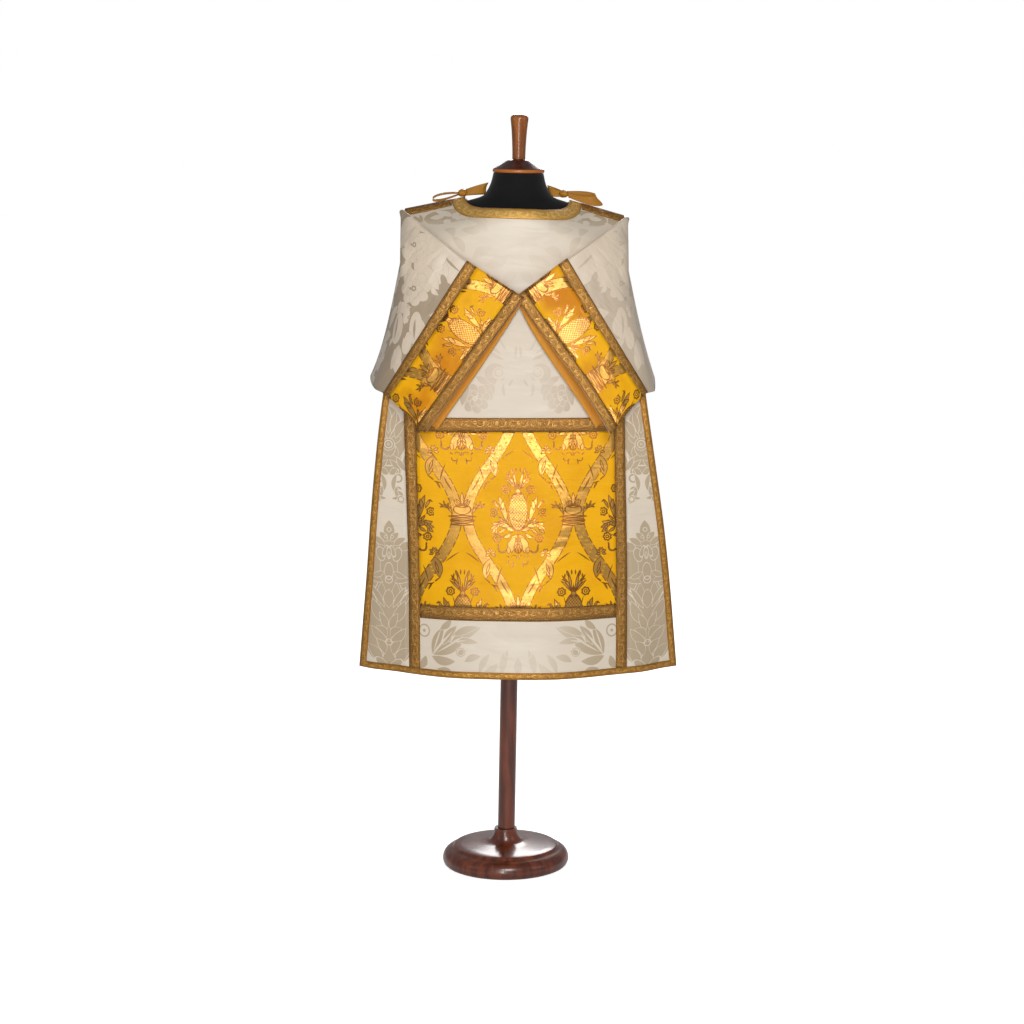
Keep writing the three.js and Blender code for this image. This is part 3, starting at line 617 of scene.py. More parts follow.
BAND_FLOWERS = [
    ("leaf", 46, 83, 75, 50, 10, 0.3), ("leaf", 50, 92, 72, 30, 3.5, 0.2),
    ("leaf", 6, 143, -36, 40, 1.5, 0.9), ("leaf", 47, 86, -40, 22, 1.7, 0.6),
    ("leaf", 60, -149, 195, 18, 1.7, 0.6), ("leaf", 34, -108, -72, 44, 1.6, 0.9),
    ("leaf", 20, -172, 60, 40, 2, -0.6), ("leaf", 44, -166, 60, 20, 2.2, 0.5),
]
for x, y in ((60, 140), (59, -81.5)):
    BAND_FLOWERS += [("leaf", x, y - 2, turn, 13, 3.6) for turn in (-20, 25, 65, 105, 150, 200)]
    BAND_FLOWERS += [("cut disc", x, y, 3.2), ("disc", x, y, 1.8)]


# %% Brocade groups: the folded map, the bands, and the whole figure
def half_drop_fold(n, u, v):
    near = n.math("PINGPONG", u, BROCADE_WIDTH / 2)
    far = n.math("GREATER_THAN", near, BROCADE_WIDTH / 4)
    back = n.math("MULTIPLY_ADD", near, -2.0, BROCADE_WIDTH / 2)
    folded = n.math("MULTIPLY_ADD", far, back, near)
    dropped = n.math("MULTIPLY_ADD", far, BROCADE_HEIGHT / 2, v)
    return folded, n.math("WRAP", dropped, BROCADE_HEIGHT / 2, -BROCADE_HEIGHT / 2)


BAND_HALF, BAND_SWING, BAND_SLOPE = 12, BROCADE_WIDTH / 4 - 11, 0.69
# The stars stand in pairs: half the distance from pair to pair, half that across the band,
# how far each is moved aside and up from the middle of its pair, and its size.
STAR_PAIR, STAR_ACROSS, STAR_ASIDE, STAR_UP, STAR_SIZE = 8.5, 7, 3.5, 4.2, 3
SCALE_WIDTH, SCALE_HEIGHT = 6.2, 7.4


def crossing_band(n, u, v):
    """How deep a point lies inside the gold band, and how far it is across it."""
    turn = n.math("MULTIPLY", v, 2 * math.pi / BROCADE_HEIGHT)
    middle = n.math("MULTIPLY_ADD", n.math("COSINE", turn), BAND_SWING, BROCADE_WIDTH / 4)
    lean = n.math("MULTIPLY", n.math("SINE", turn), BAND_SLOPE)
    slant = n.math("SQRT", n.math("MULTIPLY_ADD", lean, lean, 1.0))
    across = n.math("DIVIDE", n.math("SUBTRACT", u, middle), slant)
    return n.math("SUBTRACT", BAND_HALF, n.math("ABSOLUTE", across)), across


def small_stars(n, v, across):
    """Small four-pointed stars along the band."""
    beat = n.math("WRAP", v, STAR_PAIR, -STAR_PAIR)
    shift = n.math("MULTIPLY", n.math("SIGN", beat), STAR_ASIDE)
    side = n.math("WRAP", n.math("ADD", across, shift), STAR_ACROSS, -STAR_ACROSS)
    rise = n.math("SUBTRACT", n.math("ABSOLUTE", beat), STAR_UP)
    rays = n.math("ABSOLUTE", n.math("MULTIPLY", n.math("MULTIPLY", side, rise), 1.6))
    reach = n.math("ADD", n.math("ABSOLUTE", side), n.math("ABSOLUTE", rise))
    return n.math(
        "MINIMUM", n.math("SUBTRACT", 1.6, rays), n.math("SUBTRACT", STAR_SIZE, reach)
    )


def scales(n, u, v):
    """The lozenge scales of the pomegranate."""
    rise = n.math("MULTIPLY", v, math.pi / SCALE_HEIGHT)
    left = n.math("SINE", n.math("MULTIPLY_ADD", u, math.pi / SCALE_WIDTH, rise))
    right = n.math("SINE", n.math("MULTIPLY_ADD", u, -math.pi / SCALE_WIDTH, rise))
    crossed = n.math("ABSOLUTE", n.math("MULTIPLY", left, right))
    return n.math("MULTIPLY_ADD", crossed, 8.0, 0.3)


def brocade_figure_group():
    n, given, out = new_group(
        "brocade figure", [("Cloth", "Vector", None)], [("Depth", "Float")]
    )
    width, height, _ = n.split(given["Cloth"])
    u, v = half_drop_fold(n, width, height)
    band, across = crossing_band(n, u, v)
    in_band = n.inside(band)
    depth = n.lay_over(-1.0, band, in_band)
    in_star = n.math("MULTIPLY", n.inside(small_stars(n, v, across)), in_band)
    depth = n.lay_over(depth, -0.6, in_star)
    depth = paint(n, u, v, BAND_FLOWERS + CROWN + BEHIND, depth)
    body = shape_depth(n, spot_after(n, u, v, depth), POMEGRANATE)
    scaly = n.math("MINIMUM", body, scales(n, u, v))
    depth = n.lay_over(depth, scaly, n.inside(body))
    depth = paint(n, u, v, BEFORE, depth)
    n.give(out["Depth"], depth)
    print("brocade figure:", len(n.tree.nodes), "nodes")
    return n.tree


brocade_figure = brocade_figure_group()


# %% [markdown]
# ## Threads
# All the woven pieces share two small effects. One is the weave itself: fine ribs across
# the cloth and thread-to-thread differences. The other is wear: slow cloudy changes
# of shade, as silk has after years of use. Each is a group of its own.

# %% Weave and wear groups
def weave_group():
    n, given, out = new_group(
        "weave", [("Cloth", "Vector", None), ("Ribs per mm", "Float", 0.8), ("Slub", "Float", 0.5)],
        [("Height", "Float"), ("Shade", "Float")],
    )
    cloth = given["Cloth"]
    ribs = n.math("MULTIPLY", n.split(cloth)[1], given["Ribs per mm"])
    rib = n.math("SINE", n.math("MULTIPLY", ribs, 2 * math.pi))
    slub = n.noise(n.vector("MULTIPLY", cloth, (0.03, 0.9, 1)), 1.0, 2.0, 0.6)
    warp = n.noise(n.vector("MULTIPLY", cloth, (1.1, 0.05, 1)), 1.0, 1.0)
    uneven = n.math("MULTIPLY", n.math("SUBTRACT", slub, 0.5), given["Slub"])
    shade = n.math("MULTIPLY_ADD", n.math("SUBTRACT", warp, 0.5), 0.35, uneven)
    n.give(out["Height"], n.math("MULTIPLY_ADD", rib, 0.25, n.math("MULTIPLY", shade, 1.5)))
    n.give(out["Shade"], shade)
    return n.tree


def wear_group():
    n, given, out = new_group(
        "wear", [("Place", "Vector", None), ("Size", "Float", 6.0)], [("Cloud", "Float")]
    )
    cloud = n.noise(given["Place"], given["Size"], 3.0)
    n.give(out["Cloud"], n.math("SUBTRACT", cloud, 0.5))
    return n.tree


# Two sharper lines stay across the gores, where the garment is folded to be put away.
FOLD_LINES = (826.0, 800.0)
FOLD_WANDER, FOLD_HALF = 26.0, 3.2
GORE_SEAM_FROM, GORE_SEAM_TO = 225, 245


def crinkle_group():
    """Shallow hollows a few centimetres long, as in cloth that has hung and been folded."""
    n, given, out = new_group("crinkle", [("Cloth", "Vector", None)], [("Height", "Float")])
    across, along, _ = n.split(given["Cloth"])
    big = n.noise(n.vector("MULTIPLY", given["Cloth"], (0.012, 0.03, 1)), 1.0, 2.0, 0.45, 0.4)
    wander = n.math("MULTIPLY_ADD", big, FOLD_WANDER, along)
    away = n.math("MINIMUM", *[n.apart(wander, height) for height in FOLD_LINES])
    on_gores = n.step(n.math("ABSOLUTE", across), GORE_SEAM_FROM, GORE_SEAM_TO)
    line = n.math("MULTIPLY", n.step(away, FOLD_HALF, 0.0), on_gores)
    n.give(out["Height"], n.math("MULTIPLY_ADD", big, 3.6, n.math("MULTIPLY", line, -0.55)))
    return n.tree


weave = weave_group()
wear = wear_group()
crinkle = crinkle_group()


def use_group(n, group, **inputs):
    node = n.add("ShaderNodeGroup", node_tree=group)
    for label, value in inputs.items():
        n.give(node.inputs[label.replace("_", " ")], value)
    return node.outputs


def new_material(name, **constants):
    """A material whose plain numbers sit on the shader's own sockets."""
    material = bpy.data.materials.new(name)
    material.use_nodes = True
    shader = material.node_tree.nodes["Principled BSDF"]
    for label, value in constants.items():
        shader.inputs[label.replace("_", " ")].default_value = value
    return material, Nodes(material.node_tree), shader.inputs


def shaded(n, color, share):
    """Lightens or darkens a colour by a small share that changes over the surface."""
    factor = n.math("ADD", share, 1.0)
    return n.add("ShaderNodeVectorMath", {0: color, "Scale": factor}, operation="SCALE").outputs[0]


def bumped(n, height, distance, strength=1.0):
    return n.add(
        "ShaderNodeBump", {"Height": height, "Distance": distance, "Strength": strength}
    ).outputs[0]


def srgb(*rgb):
    """A colour as it looks on a screen, 0 to 255, turned into light."""
    return tuple(
        (c / 255 / 12.92) if c <= 10 else ((c / 255 + 0.055) / 1.055) ** 2.4 for c in rgb
    )


# %% Brocade material
YELLOW_SILK, ORANGE_SILK = srgb(250, 182, 2), srgb(214, 128, 2)
DARK_METAL, LIGHT_METAL = srgb(146, 88, 28), srgb(216, 160, 74)


def brocade_material(name, shift, deep):
    """shift moves the figure over the cloth's map; deep is how far its shade wanders."""
    material, n, shader = new_material(name, Specular_IOR_Level=0.2, Coat_Roughness=0.3)
    cloth = cloth_spot(n)
    moved = n.add("ShaderNodeMapping", {"Vector": cloth, "Location": (*shift, 0)}).outputs[0]
    figure = use_group(n, brocade_figure, Cloth=moved)
    threads = use_group(n, weave, Cloth=cloth, Slub=0.5)
    place = object_spot(n)
    cloud = use_group(n, wear, Place=place, Size=9.0)["Cloud"]
    depth = figure["Depth"]
    gold = n.step(depth, -0.5, 0.1)
    core = n.step(depth, 1.3, 2.6)
    drift = n.math("MULTIPLY", n.step(cloud, -0.06, 0.2), deep)
    ground = n.blend(drift, YELLOW_SILK, ORANGE_SILK)
    ground = shaded(n, ground, n.math("MULTIPLY", threads["Shade"], 0.16))
    metal = n.blend(core, DARK_METAL, LIGHT_METAL)
    metal = shaded(n, metal, n.math("MULTIPLY", threads["Shade"], 1.2))
    n.give(shader["Base Color"], n.blend(gold, ground, metal))
    n.give(shader["Metallic"], n.math("MULTIPLY", gold, 0.95))
    n.give(shader["Coat Weight"], n.math("MULTIPLY", gold, 0.5))
    n.give(shader["Roughness"], n.math("MULTIPLY_ADD", gold, -0.2, 0.5))
    hollows = use_group(n, crinkle, Cloth=cloth)["Height"]
    height = n.math("MULTIPLY_ADD", threads["Height"], 0.18, hollows)
    n.give(shader["Normal"], bumped(n, height, 0.001))
    return material


brocade = brocade_material("gold brocade", (0, -BROCADE_MIDDLE_Z), 0.25)


# %% [markdown]
# ## The silk damask
# The damask is cream silk with a very large baroque figure: foliage, pods and peonies,
# mirrored about the gores and about the middle of the garment. On the sleeves it shows
# the pale satin side of the leaves on a duller ground. The panel charts measure from
# the gore axis and from the floor, the sleeve charts from the fold and the mouth.

# %% Damask charts, in millimetres
def petals(kind, x, y, away, turns, length, half):
    """Ovals set round a point, each pointing away from it."""
    made = []
    for turn in turns:
        c, s = math.cos(math.radians(turn)), math.sin(math.radians(turn))
        made.append((kind, x + away * c, y + away * s, turn, length, half))
    return made


def peony(x, y, r, turn):
    """Two rings of broad petals round a small dull heart."""
    outer = [turn + 45 * k for k in range(8)]
    inner = [turn + 20 + 72 * k for k in range(5)]
    return [
        *petals("oval", x, y, 0.62 * r, outer, 0.92 * r, 0.36 * r),
        *petals("oval", x, y, 0.3 * r, inner, 0.62 * r, 0.24 * r),
        ("cut disc", x, y, r * 0.17), ("disc", x, y, r * 0.09),
        ("cut disc", x + r * 0.16, y + r * 0.2, r * 0.08),
    ]


DAMASK_HALF = 290
DAMASK = [
    ("oval", 0, 619, 90, 310, 62), ("oval", 39, 563, 80, 170, 30), ("oval", 36, 695, 90, 110, 18),
    ("leaf", 0, 751, 90, 49, 13, 0), ("leaf", 3, 751, 54, 28, 8, 0.3),
    ("leaf", 8, 743, 34, 34, 8, 0.2), ("leaf", 23, 732, 40, 29, 10, -0.3),
    ("ring", 0, 778, 4.5, 1.1), ("disc", 7, 762, 4), ("oval", 18, 723, 75, 34, 10),
    ("oval", 8, 730, 110, 30, 6), ("oval", 0, 726, 90, 30, 6), ("leaf", 0, 715, 90, 15, 3, 0),
    ("oval", 0, 685, 90, 42, 10.5), ("leaf", 11, 664, 12, 37, 9, 0.6),
    ("leaf", 9, 683, -25, 31, 7, -0.3), ("ring", 0, 666, 8, 1.2),
    ("leaf", 23, 602, 101, 59, 11, 0.4), ("leaf", 3, 601, 88, 45, 8.5, -0.4),
    ("leaf", 8, 602, 59, 59, 7, 0.1), ("leaf", 23, 597, 63, 50, 7, 0.1),
    ("leaf", 8, 563, 60, 65, 12, -0.4), ("leaf", 2, 548, 72, 48, 9, 0.5),
    ("leaf", 0, 538, 43, 36, 10, 0.5), ("leaf", 4, 522, 42, 51, 10, -0.5),
    ("leaf", 4, 499, 61, 39, 10, 0.6), ("leaf", 11, 476, 53, 56, 12, 0.5),
    ("ring", 0, 525, 7, 1.2), ("oval", 15, 476, 40, 40, 9), ("oval", 0, 975, 90, 150, 34),
    ("leaf", 30, 905, 60, 90, 16, -0.3), ("leaf", 62, 940, 100, 90, 14, 0.3),
    ("oval", 19, 969, 70, 110, 20), ("leaf", 4, 935, -54, 42, 7, 0.5),
    ("leaf", 15, 939, -56, 41, 7, -0.3), ("leaf", 0, 901, 27, 25, 8, 0.2),
    ("leaf", 21, 913, -110, 22, 3.5, 0.2), ("leaf", 11, 886, -76, 50, 6, 0.9),
    ("leaf", 15, 875, -27, 17, 3.5, 0.5), ("leaf", 24, 837, 18, 12, 3, 0.8),
    ("ring", 20, 892, 8, 3.2), ("cut disc", 20, 892, 3.4), ("leaf", 14, 905, -100, 44, 6, -0.8),
    ("leaf", 20, 868, -60, 26, 5, 0.8), ("leaf", 26, 852, 200, 22, 4.5, 0.8),
    ("ring", 26, 846, 6, 2.6), ("leaf", 0, 969, -53, 38, 9, 0.5),
    ("leaf", 0, 939, 69, 32, 9, 0.3), ("leaf", 4, 969, 34, 27, 9, 0.4), ("disc", 0, 966, 14),
    ("ring", 0, 966, 8, 1.2), ("disc", 0, 966, 3), ("leaf", 0, 988, 90, 60, 9, 0),
    ("leaf", 5, 988, 77, 54, 7, 0.2), ("leaf", 11, 980, 61, 47, 9, 0.5),
    ("leaf", 100, 507, 68, 73, 11, 0.4), ("leaf", 106, 504, 36, 95, 17, -0.3),
    ("leaf", 131, 535, 24, 91, 10, -0.5), ("leaf", 125, 532, 56, 56, 9, 0.4),
    ("leaf", 100, 501, -9, 56, 11, -0.5), ("leaf", 156, 510, 36, 27, 7, 0.8),
    ("ring", 166, 518, 9, 2.2), ("leaf", 144, 554, 21, 66, 9, 0.4),
    ("leaf", 122, 562, 44, 38, 8, -0.4), ("leaf", 150, 545, -4, 56, 8, 0.4),
    ("cut leaf", 104, 508, 52, 74, 2.2, 0.5), ("cut leaf", 112, 512, 34, 80, 2.0, -0.5),
    ("cut leaf", 106, 514, 72, 56, 1.8, 0.3), ("cut leaf", 142, 536, 60, 26, 1.8, 0.4),
    ("cut leaf", 150, 540, 8, 30, 1.6, 0.4), ("leaf", 172, 500, 20, 40, 9, 0.4),
    ("leaf", 91, 504, -121, 36, 10, 0.4), ("ring", 83, 560, 13, 3), ("disc", 83, 560, 5),
    ("leaf", 115, 483, -21, 43, 9, 0.5), ("leaf", 202, 473, 62, 53, 8, 0.5),
    ("leaf", 214, 467, 37, 46, 9, -0.5), ("leaf", 251, 467, 77, 67, 9, 0.4),
    ("ring", 270, 517, 9, 1.5), ("leaf", 290, 467, 90, 43, 10, 0), ("disc", 164, 1471, 14),
    ("ring", 164, 1471, 9, 1.2), ("leaf", 158, 1463, -18, 30, 10, 0.4),
    ("leaf", 175, 1451, -5, 55, 14, 0.5), ("ring", 149, 1453, 7, 1.5),
    ("leaf", 141, 1435, -45, 30, 10, 0.9), ("leaf", 170, 1420, 10, 56, 12, -0.5),
    ("leaf", 156, 1413, -54, 44, 10, 0.5), ("leaf", 191, 1368, 27, 48, 12, 0.5),
    ("leaf", 220, 1344, 24, 58, 14, -0.4), ("leaf", 254, 1311, 41, 44, 12, 0.5),
    ("leaf", 120, 1075, 119, 63, 12, -0.4), ("leaf", 260, 1200, 121, 58, 8, 0.4),
    ("leaf", 230, 1180, 51, 64, 7, 0.5), ("oval", 148, 1472, 12, 130, 26),
    ("oval", 60, 1440, 60, 80, 20), ("oval", 205, 1440, -40, 60, 12),
    *petals("cut oval", 168, 1470, 9, range(0, 360, 51), 17, 6.5), ("disc", 168, 1470, 3),
    ("cut disc", 142, 1452, 8), ("ring", 142, 1452, 4.5, 1.2),
    ("cut leaf", 118, 1492, -30, 44, 9, 0.4), ("cut leaf", 104, 1462, 20, 40, 8, -0.4),
    ("cut leaf", 150, 1440, 0, 56, 10, 0.3), ("cut leaf", 60, 1420, 50, 50, 9, 0.4),
    ("cut leaf", 70, 1462, 110, 40, 8, 0.4), ("oval", 224, 1082, 60, 46, 17),
    ("leaf", 236, 1098, 160, 40, 9, 0.3), ("leaf", 232, 1060, 100, 30, 8, 0.5),
    *peony(199, 1066, 31, 10), ("leaf", 168, 1050, 70, 50, 9, 0.5),
    ("leaf", 184, 1100, 130, 50, 9, 0.5), ("disc", 241, 1120, 23), ("cut disc", 249, 1121, 14),
    ("cut leaf", 252, 1112, -100, 26, 7, 0.4), ("ring", 249, 1122, 8, 2.4),
    ("leaf", 260, 1068, 96, 34, 5, 0.6), ("leaf", 262, 1146, 150, 44, 5, 0.6),
    ("leaf", 256, 1158, 140, 40, 4.5, 0.5), ("leaf", 266, 1166, 120, 34, 4, 0.5),
    ("leaf", 283, 1150, 84, 34, 4.5, 0.3), ("leaf", 268, 1090, 60, 24, 4, 0.5),
]
SLEEVE_DAMASK = [
    ("oval", 22, 170, 90, 260, 42), ("oval", 70, 210, 60, 110, 40), ("oval", 30, 290, 90, 80, 36),
    ("cut oval", 66, 158, 130, 36, 7), ("cut leaf", 60, 244, -20, 34, 7, 0.5),
    ("cut leaf", 12, 246, 80, 30, 5, 0.4), ("cut leaf", 44, 208, -70, 44, 4, 0.6),
    ("cut leaf", 20, 200, -80, 60, 3, 0.6), ("cut leaf", 40, 140, -60, 40, 4, 0.6),
    ("leaf", 20, 285, 60, 50, 16, 0.3), ("leaf", 70, 285, 110, 40, 12, 0.3),
    ("leaf", 26, 232, 0, 60, 15, 0.3), ("leaf", 70, 230, 80, 60, 12, -0.4),
    ("leaf", 60, 215, -60, 50, 13, 0.5), ("leaf", 22, 220, -50, 60, 16, 0.4),
    ("leaf", 12, 190, 30, 60, 14, -0.4), ("leaf", 60, 190, 170, 60, 14, 0.4),
    ("leaf", 92, 160, 120, 60, 15, -0.4), ("leaf", 84, 240, 30, 46, 12, 0.4),
    ("leaf", 120, 250, 60, 44, 10, -0.4), ("leaf", 150, 190, 40, 50, 13, 0.4),
    ("leaf", 160, 150, -20, 60, 14, -0.4), ("leaf", 150, 140, -130, 50, 14, 0.3),
    ("leaf", 175, 230, 10, 60, 14, 0.4), ("leaf", 190, 250, 100, 46, 12, 0.4),
    ("leaf", 235, 210, 60, 60, 14, 0.4), ("leaf", 240, 160, -10, 60, 14, -0.4),
    ("leaf", 230, 135, -120, 40, 12, 0.4), ("leaf", 290, 200, 80, 60, 15, 0.4),
    ("leaf", 300, 130, 140, 60, 13, 0.3), *peony(46, 262, 35, 15), *peony(116, 205, 37, 5),
    *peony(292, 240, 38, 0), *peony(150, 285, 26, 30), ("oval", 214, 192, 157, 74, 17),
    ("oval", 188, 152, 152, 78, 15), ("oval", 176, 186, 155, 44, 9),
    ("oval", 228, 150, 160, 54, 12), ("cut leaf", 240, 184, 156, 54, 3.4, 0.5),
    ("cut leaf", 214, 140, 150, 50, 3, -0.5), ("cut oval", 200, 172, 155, 22, 4),
    ("cut disc", 176, 178, 4), ("disc", 176, 178, 2), ("cut leaf", 224, 160, 158, 30, 2.4, 0.4),
    ("leaf", 92, 176, -70, 26, 6, 0.6), ("leaf", 160, 222, -10, 24, 5, 0.6),
    ("leaf", 84, 236, -30, 22, 5, -0.6), ("leaf", 172, 196, 160, 26, 5, 0.6),
    ("leaf", 236, 190, 20, 26, 6, 0.6),
]


# %% Damask groups
# The gores are cut so that the figure's axis leans inwards as it rises. The lean grows
# from LEAN_LOW at the hem, and sets in where the gore begins.
LEAN_LOW, LEAN_MORE, LEAN_FROM_Z, LEAN_TO_Z = 8.0, 11.0, 560, 1000
LEAN_FROM_X, LEAN_TO_X = 170, 235
SLEEVE_FOLD = 330.0


def damask_group(name, chart, mirror):
    n, given, out = new_group(name, [("Cloth", "Vector", None)], [("Depth", "Float")])
    across, along, _ = n.split(given["Cloth"])
    away = n.math("ABSOLUTE", across)
    if mirror:
        risen = n.step(along, LEAN_FROM_Z, LEAN_TO_Z)
        lean = n.math("MULTIPLY_ADD", risen, LEAN_MORE, LEAN_LOW)
        lean = n.math("MULTIPLY", lean, n.step(away, LEAN_FROM_X, LEAN_TO_X))
        away = n.apart(n.math("ADD", away, lean), DAMASK_HALF)
    else:
        away = n.math("PINGPONG", away, SLEEVE_FOLD)
    ground = n.math("MULTIPLY_ADD", away, 0.0001, -2.0)
    n.give(out["Depth"], paint(n, away, along, chart, ground))
    print(f"{name}: {len(chart)} shapes, {len(n.tree.nodes)} nodes")
    return n.tree


panel_damask_figure = damask_group("panel damask figure", DAMASK, True)
sleeve_damask_figure = damask_group("sleeve damask figure", SLEEVE_DAMASK, False)

CREAM, TAUPE = srgb(228, 214, 194), srgb(190, 170, 141)
# The sleeves' colours are the damask's own, painted darker as painted shade where the sleeves hang.
SHADED_SLEEVE_CREAM, SHADED_SLEEVE_TAUPE = srgb(220, 203, 181), srgb(172, 152, 127)
# Where the panel's figure comes out, from the middle to the sides, and where it is faint
# across the breast: from nothing to full at the first two heights, and back at the others.
# The fading is painted sheen, where the front light's sheen washes the figure out.
FIGURE_FROM_X, FIGURE_TO_X = 50, 170
SHEEN_ON_BREAST = (1240, 1290, 1425, 1475)


def painted_sheen_share(n, cloth):
    """Painted sheen: the figure fades towards the garment's middle, most of all on the breast."""
    across, along, _ = n.split(cloth)
    out = n.step(n.math("ABSOLUTE", across), FIGURE_FROM_X, FIGURE_TO_X)
    sides = n.math("MULTIPLY_ADD", out, 0.75, 0.25)
    breast = n.math("SUBTRACT", n.step(along, *SHEEN_ON_BREAST[:2]), n.step(along, *SHEEN_ON_BREAST[2:]))
    return n.math("MULTIPLY", sides, n.math("MULTIPLY_ADD", breast, -0.6, 1.0))


def damask_material(name, group, reversed_weave, contrast, pale, dark):
    """The figure shows as dull on satin, or reversed as satin on dull."""
    material, n, shader = new_material(
        name, Specular_IOR_Level=0.55, Sheen_Weight=0.15, Sheen_Roughness=0.4
    )
    cloth = cloth_spot(n)
    depth = use_group(n, group, Cloth=cloth)["Depth"]
    threads = use_group(n, weave, Cloth=cloth, Ribs_per_mm=1.1, Slub=0.35)
    cloud = use_group(n, wear, Place=object_spot(n), Size=7.0)["Cloud"]
    if reversed_weave:
        dull = n.math("SUBTRACT", 1.0, n.step(depth, 0.2, 0.9))
        hollow = 1.8
    else:
        # The figure is painted faint where the front light's sheen would wash it out: painted
        # sheen.
        dull = n.math("MULTIPLY", n.step(depth, 0.9, 1.8), painted_sheen_share(n, cloth))
        hollow = 1.0
    dull = n.math("MULTIPLY", dull, contrast)
    tint = n.math("MULTIPLY_ADD", cloud, 0.16, n.math("MULTIPLY", threads["Shade"], 0.12))
    n.give(shader["Base Color"], shaded(n, n.blend(dull, pale, dark), tint))
    n.give(shader["Roughness"], n.math("MULTIPLY_ADD", dull, 0.16, 0.4))
    hollows = n.math("MULTIPLY", use_group(n, crinkle, Cloth=cloth)["Height"], hollow)
    height = n.math("ADD", hollows, n.math("MULTIPLY", threads["Height"], 0.05))
    n.give(shader["Normal"], bumped(n, height, 0.001))
    return material


def sleeve_damask_material(word, contrast):
    name = f"cream damask of the {word} sleeve"
    return damask_material(name, sleeve_damask_figure, True, contrast, SHADED_SLEEVE_CREAM, SHADED_SLEEVE_TAUPE)


damask = damask_material("cream damask", panel_damask_figure, False, 1.0, CREAM, TAUPE)
sleeve_damask = {
    "right": sleeve_damask_material("right", 1.0),
    "left": sleeve_damask_material("left", 0.45),
}

# %% [markdown]
# ## Galloon, ribbon, jersey and wood
# Galloon is a woven braid of gilt thread. A scroll with small leaves winds along
# its middle and a cord closes each edge. The ribbons and the lining are plain satin.

# %% Galloon
GALLOON_REPEAT, GALLOON_WIDTH = 46, 24.0
SCROLL_SWING, SCROLL_HALF, CORD_FROM = 6.0, 1.5, 9.6
# The colour of the glints that are painted into the galloon.
PAINTED_GILT_GLINT = srgb(250, 222, 150)
GALLOON = [
    ("leaf", -4, -6, 62, 15, 2.6, 0.5), ("leaf", -4, -6, 20, 16, 2.2, 0.6),
    ("leaf", -20, 7, -62, 15, 2.6, -0.5), ("leaf", -20, 7, -20, 16, 2.2, -0.6),
    ("leaf", 17, 6, -70, 14, 2.6, -0.5), ("leaf", 6, -5, 120, 12, 2, 0.5),
    ("ring", -12, 0, 3.4, 0.8), ("ring", 11, 0, 3.4, 0.8),
]


def galloon_group():
    """The woven figure is charted for one width, and drawn wider or narrower for the others."""
    n, given, out = new_group(
        "galloon figure", [("Cloth", "Vector", None), ("Width", "Float", GALLOON_WIDTH)],
        [("Depth", "Float"), ("Edge", "Float")],
    )
    run, aside, _ = n.split(given["Cloth"])
    along = n.math("WRAP", run, GALLOON_REPEAT / 2, -GALLOON_REPEAT / 2)
    across = n.math("SUBTRACT", aside, n.math("MULTIPLY", given["Width"], 0.5))
    across = n.math("MULTIPLY", across, n.math("DIVIDE", GALLOON_WIDTH, given["Width"]))
    turn = n.math("MULTIPLY", along, 2 * math.pi / GALLOON_REPEAT)
    wave = n.math("MULTIPLY", n.math("SINE", turn), SCROLL_SWING)
    scroll = n.math("SUBTRACT", SCROLL_HALF, n.apart(across, wave))
    depth = paint(n, along, across, GALLOON, n.math("MAXIMUM", scroll, -1.0))
    n.give(out["Depth"], depth)
    n.give(out["Edge"], n.math("SUBTRACT", n.math("ABSOLUTE", across), CORD_FROM))
    return n.tree


galloon_figure = galloon_group()


def galloon_material(name, width, ground, figure_color, painted_glint_share, metal=0.7):
    material, n, shader = new_material(name, Metallic=metal, Specular_IOR_Level=0.6)
    cloth = cloth_spot(n)
    figure = use_group(n, galloon_figure, Cloth=cloth, Width=float(width))
    threads = use_group(n, weave, Cloth=cloth, Ribs_per_mm=0.55, Slub=1.0)
    raised = n.step(figure["Depth"], -0.3, 0.9)
    rim = n.step(figure["Edge"], -0.3, 0.5)
    color = n.blend(raised, ground, figure_color)
    color = n.blend(rim, color, tuple(c * 0.75 for c in ground))
    # Painted highlights: pale gold glints are painted into the colour where the noise peaks.
    sparkle = n.noise(cloth, 0.45, 3.0, 0.75)
    glint = n.math("MULTIPLY", n.step(sparkle, 0.53, 0.68), painted_glint_share)
    color = n.blend(glint, color, PAINTED_GILT_GLINT)
    n.give(shader["Base Color"], shaded(n, color, n.math("MULTIPLY", threads["Shade"], 1.6)))
    n.give(shader["Roughness"], n.math("MULTIPLY_ADD", raised, -0.12, 0.46))
    woven = n.math("MULTIPLY", threads["Height"], 0.5)
    height = n.math("ADD", n.math("MULTIPLY", raised, 0.8), woven)
    height = n.math("ADD", height, n.math("MULTIPLY", rim, 0.5))
    n.give(shader["Normal"], bumped(n, height, 0.0006))
    return material


# The fifth number is how much of each braid is painted with glints.
galloon = galloon_material("galloon", 24, srgb(158, 106, 40), srgb(188, 136, 62), 0.65)
border_galloon = galloon_material(
    "border galloon", 15, srgb(184, 126, 48), srgb(216, 160, 74), 0.45
)
neck_galloon = galloon_material(
    "neck galloon", 27, srgb(222, 164, 72), srgb(246, 200, 108), 1.0, 0.45
)
cuff_brocade = brocade_material("gold brocade of the cuffs", (-130, -49), 0.9)


# %% Satin, jersey and wood
def satin_material(name, color, slub):
    material, n, shader = new_material(name, Specular_IOR_Level=0.4)
    cloth = cloth_spot(n)
    threads = use_group(n, weave, Cloth=cloth, Ribs_per_mm=1.4, Slub=slub)
    n.give(shader["Base Color"], shaded(n, color, n.math("MULTIPLY", threads["Shade"], 0.5)))
    n.give(shader["Roughness"], n.math("MULTIPLY_ADD", threads["Shade"], 0.2, 0.4))
    n.give(shader["Normal"], bumped(n, threads["Height"], 0.0002))
    return material


satin = satin_material("lining satin", srgb(222, 148, 34), 0.3)
ribbon = satin_material("ribbon", srgb(186, 126, 38), 0.5)


JERSEY_BLACK = (0.006, 0.006, 0.007)
BARE_WOOD = srgb(186, 106, 40)


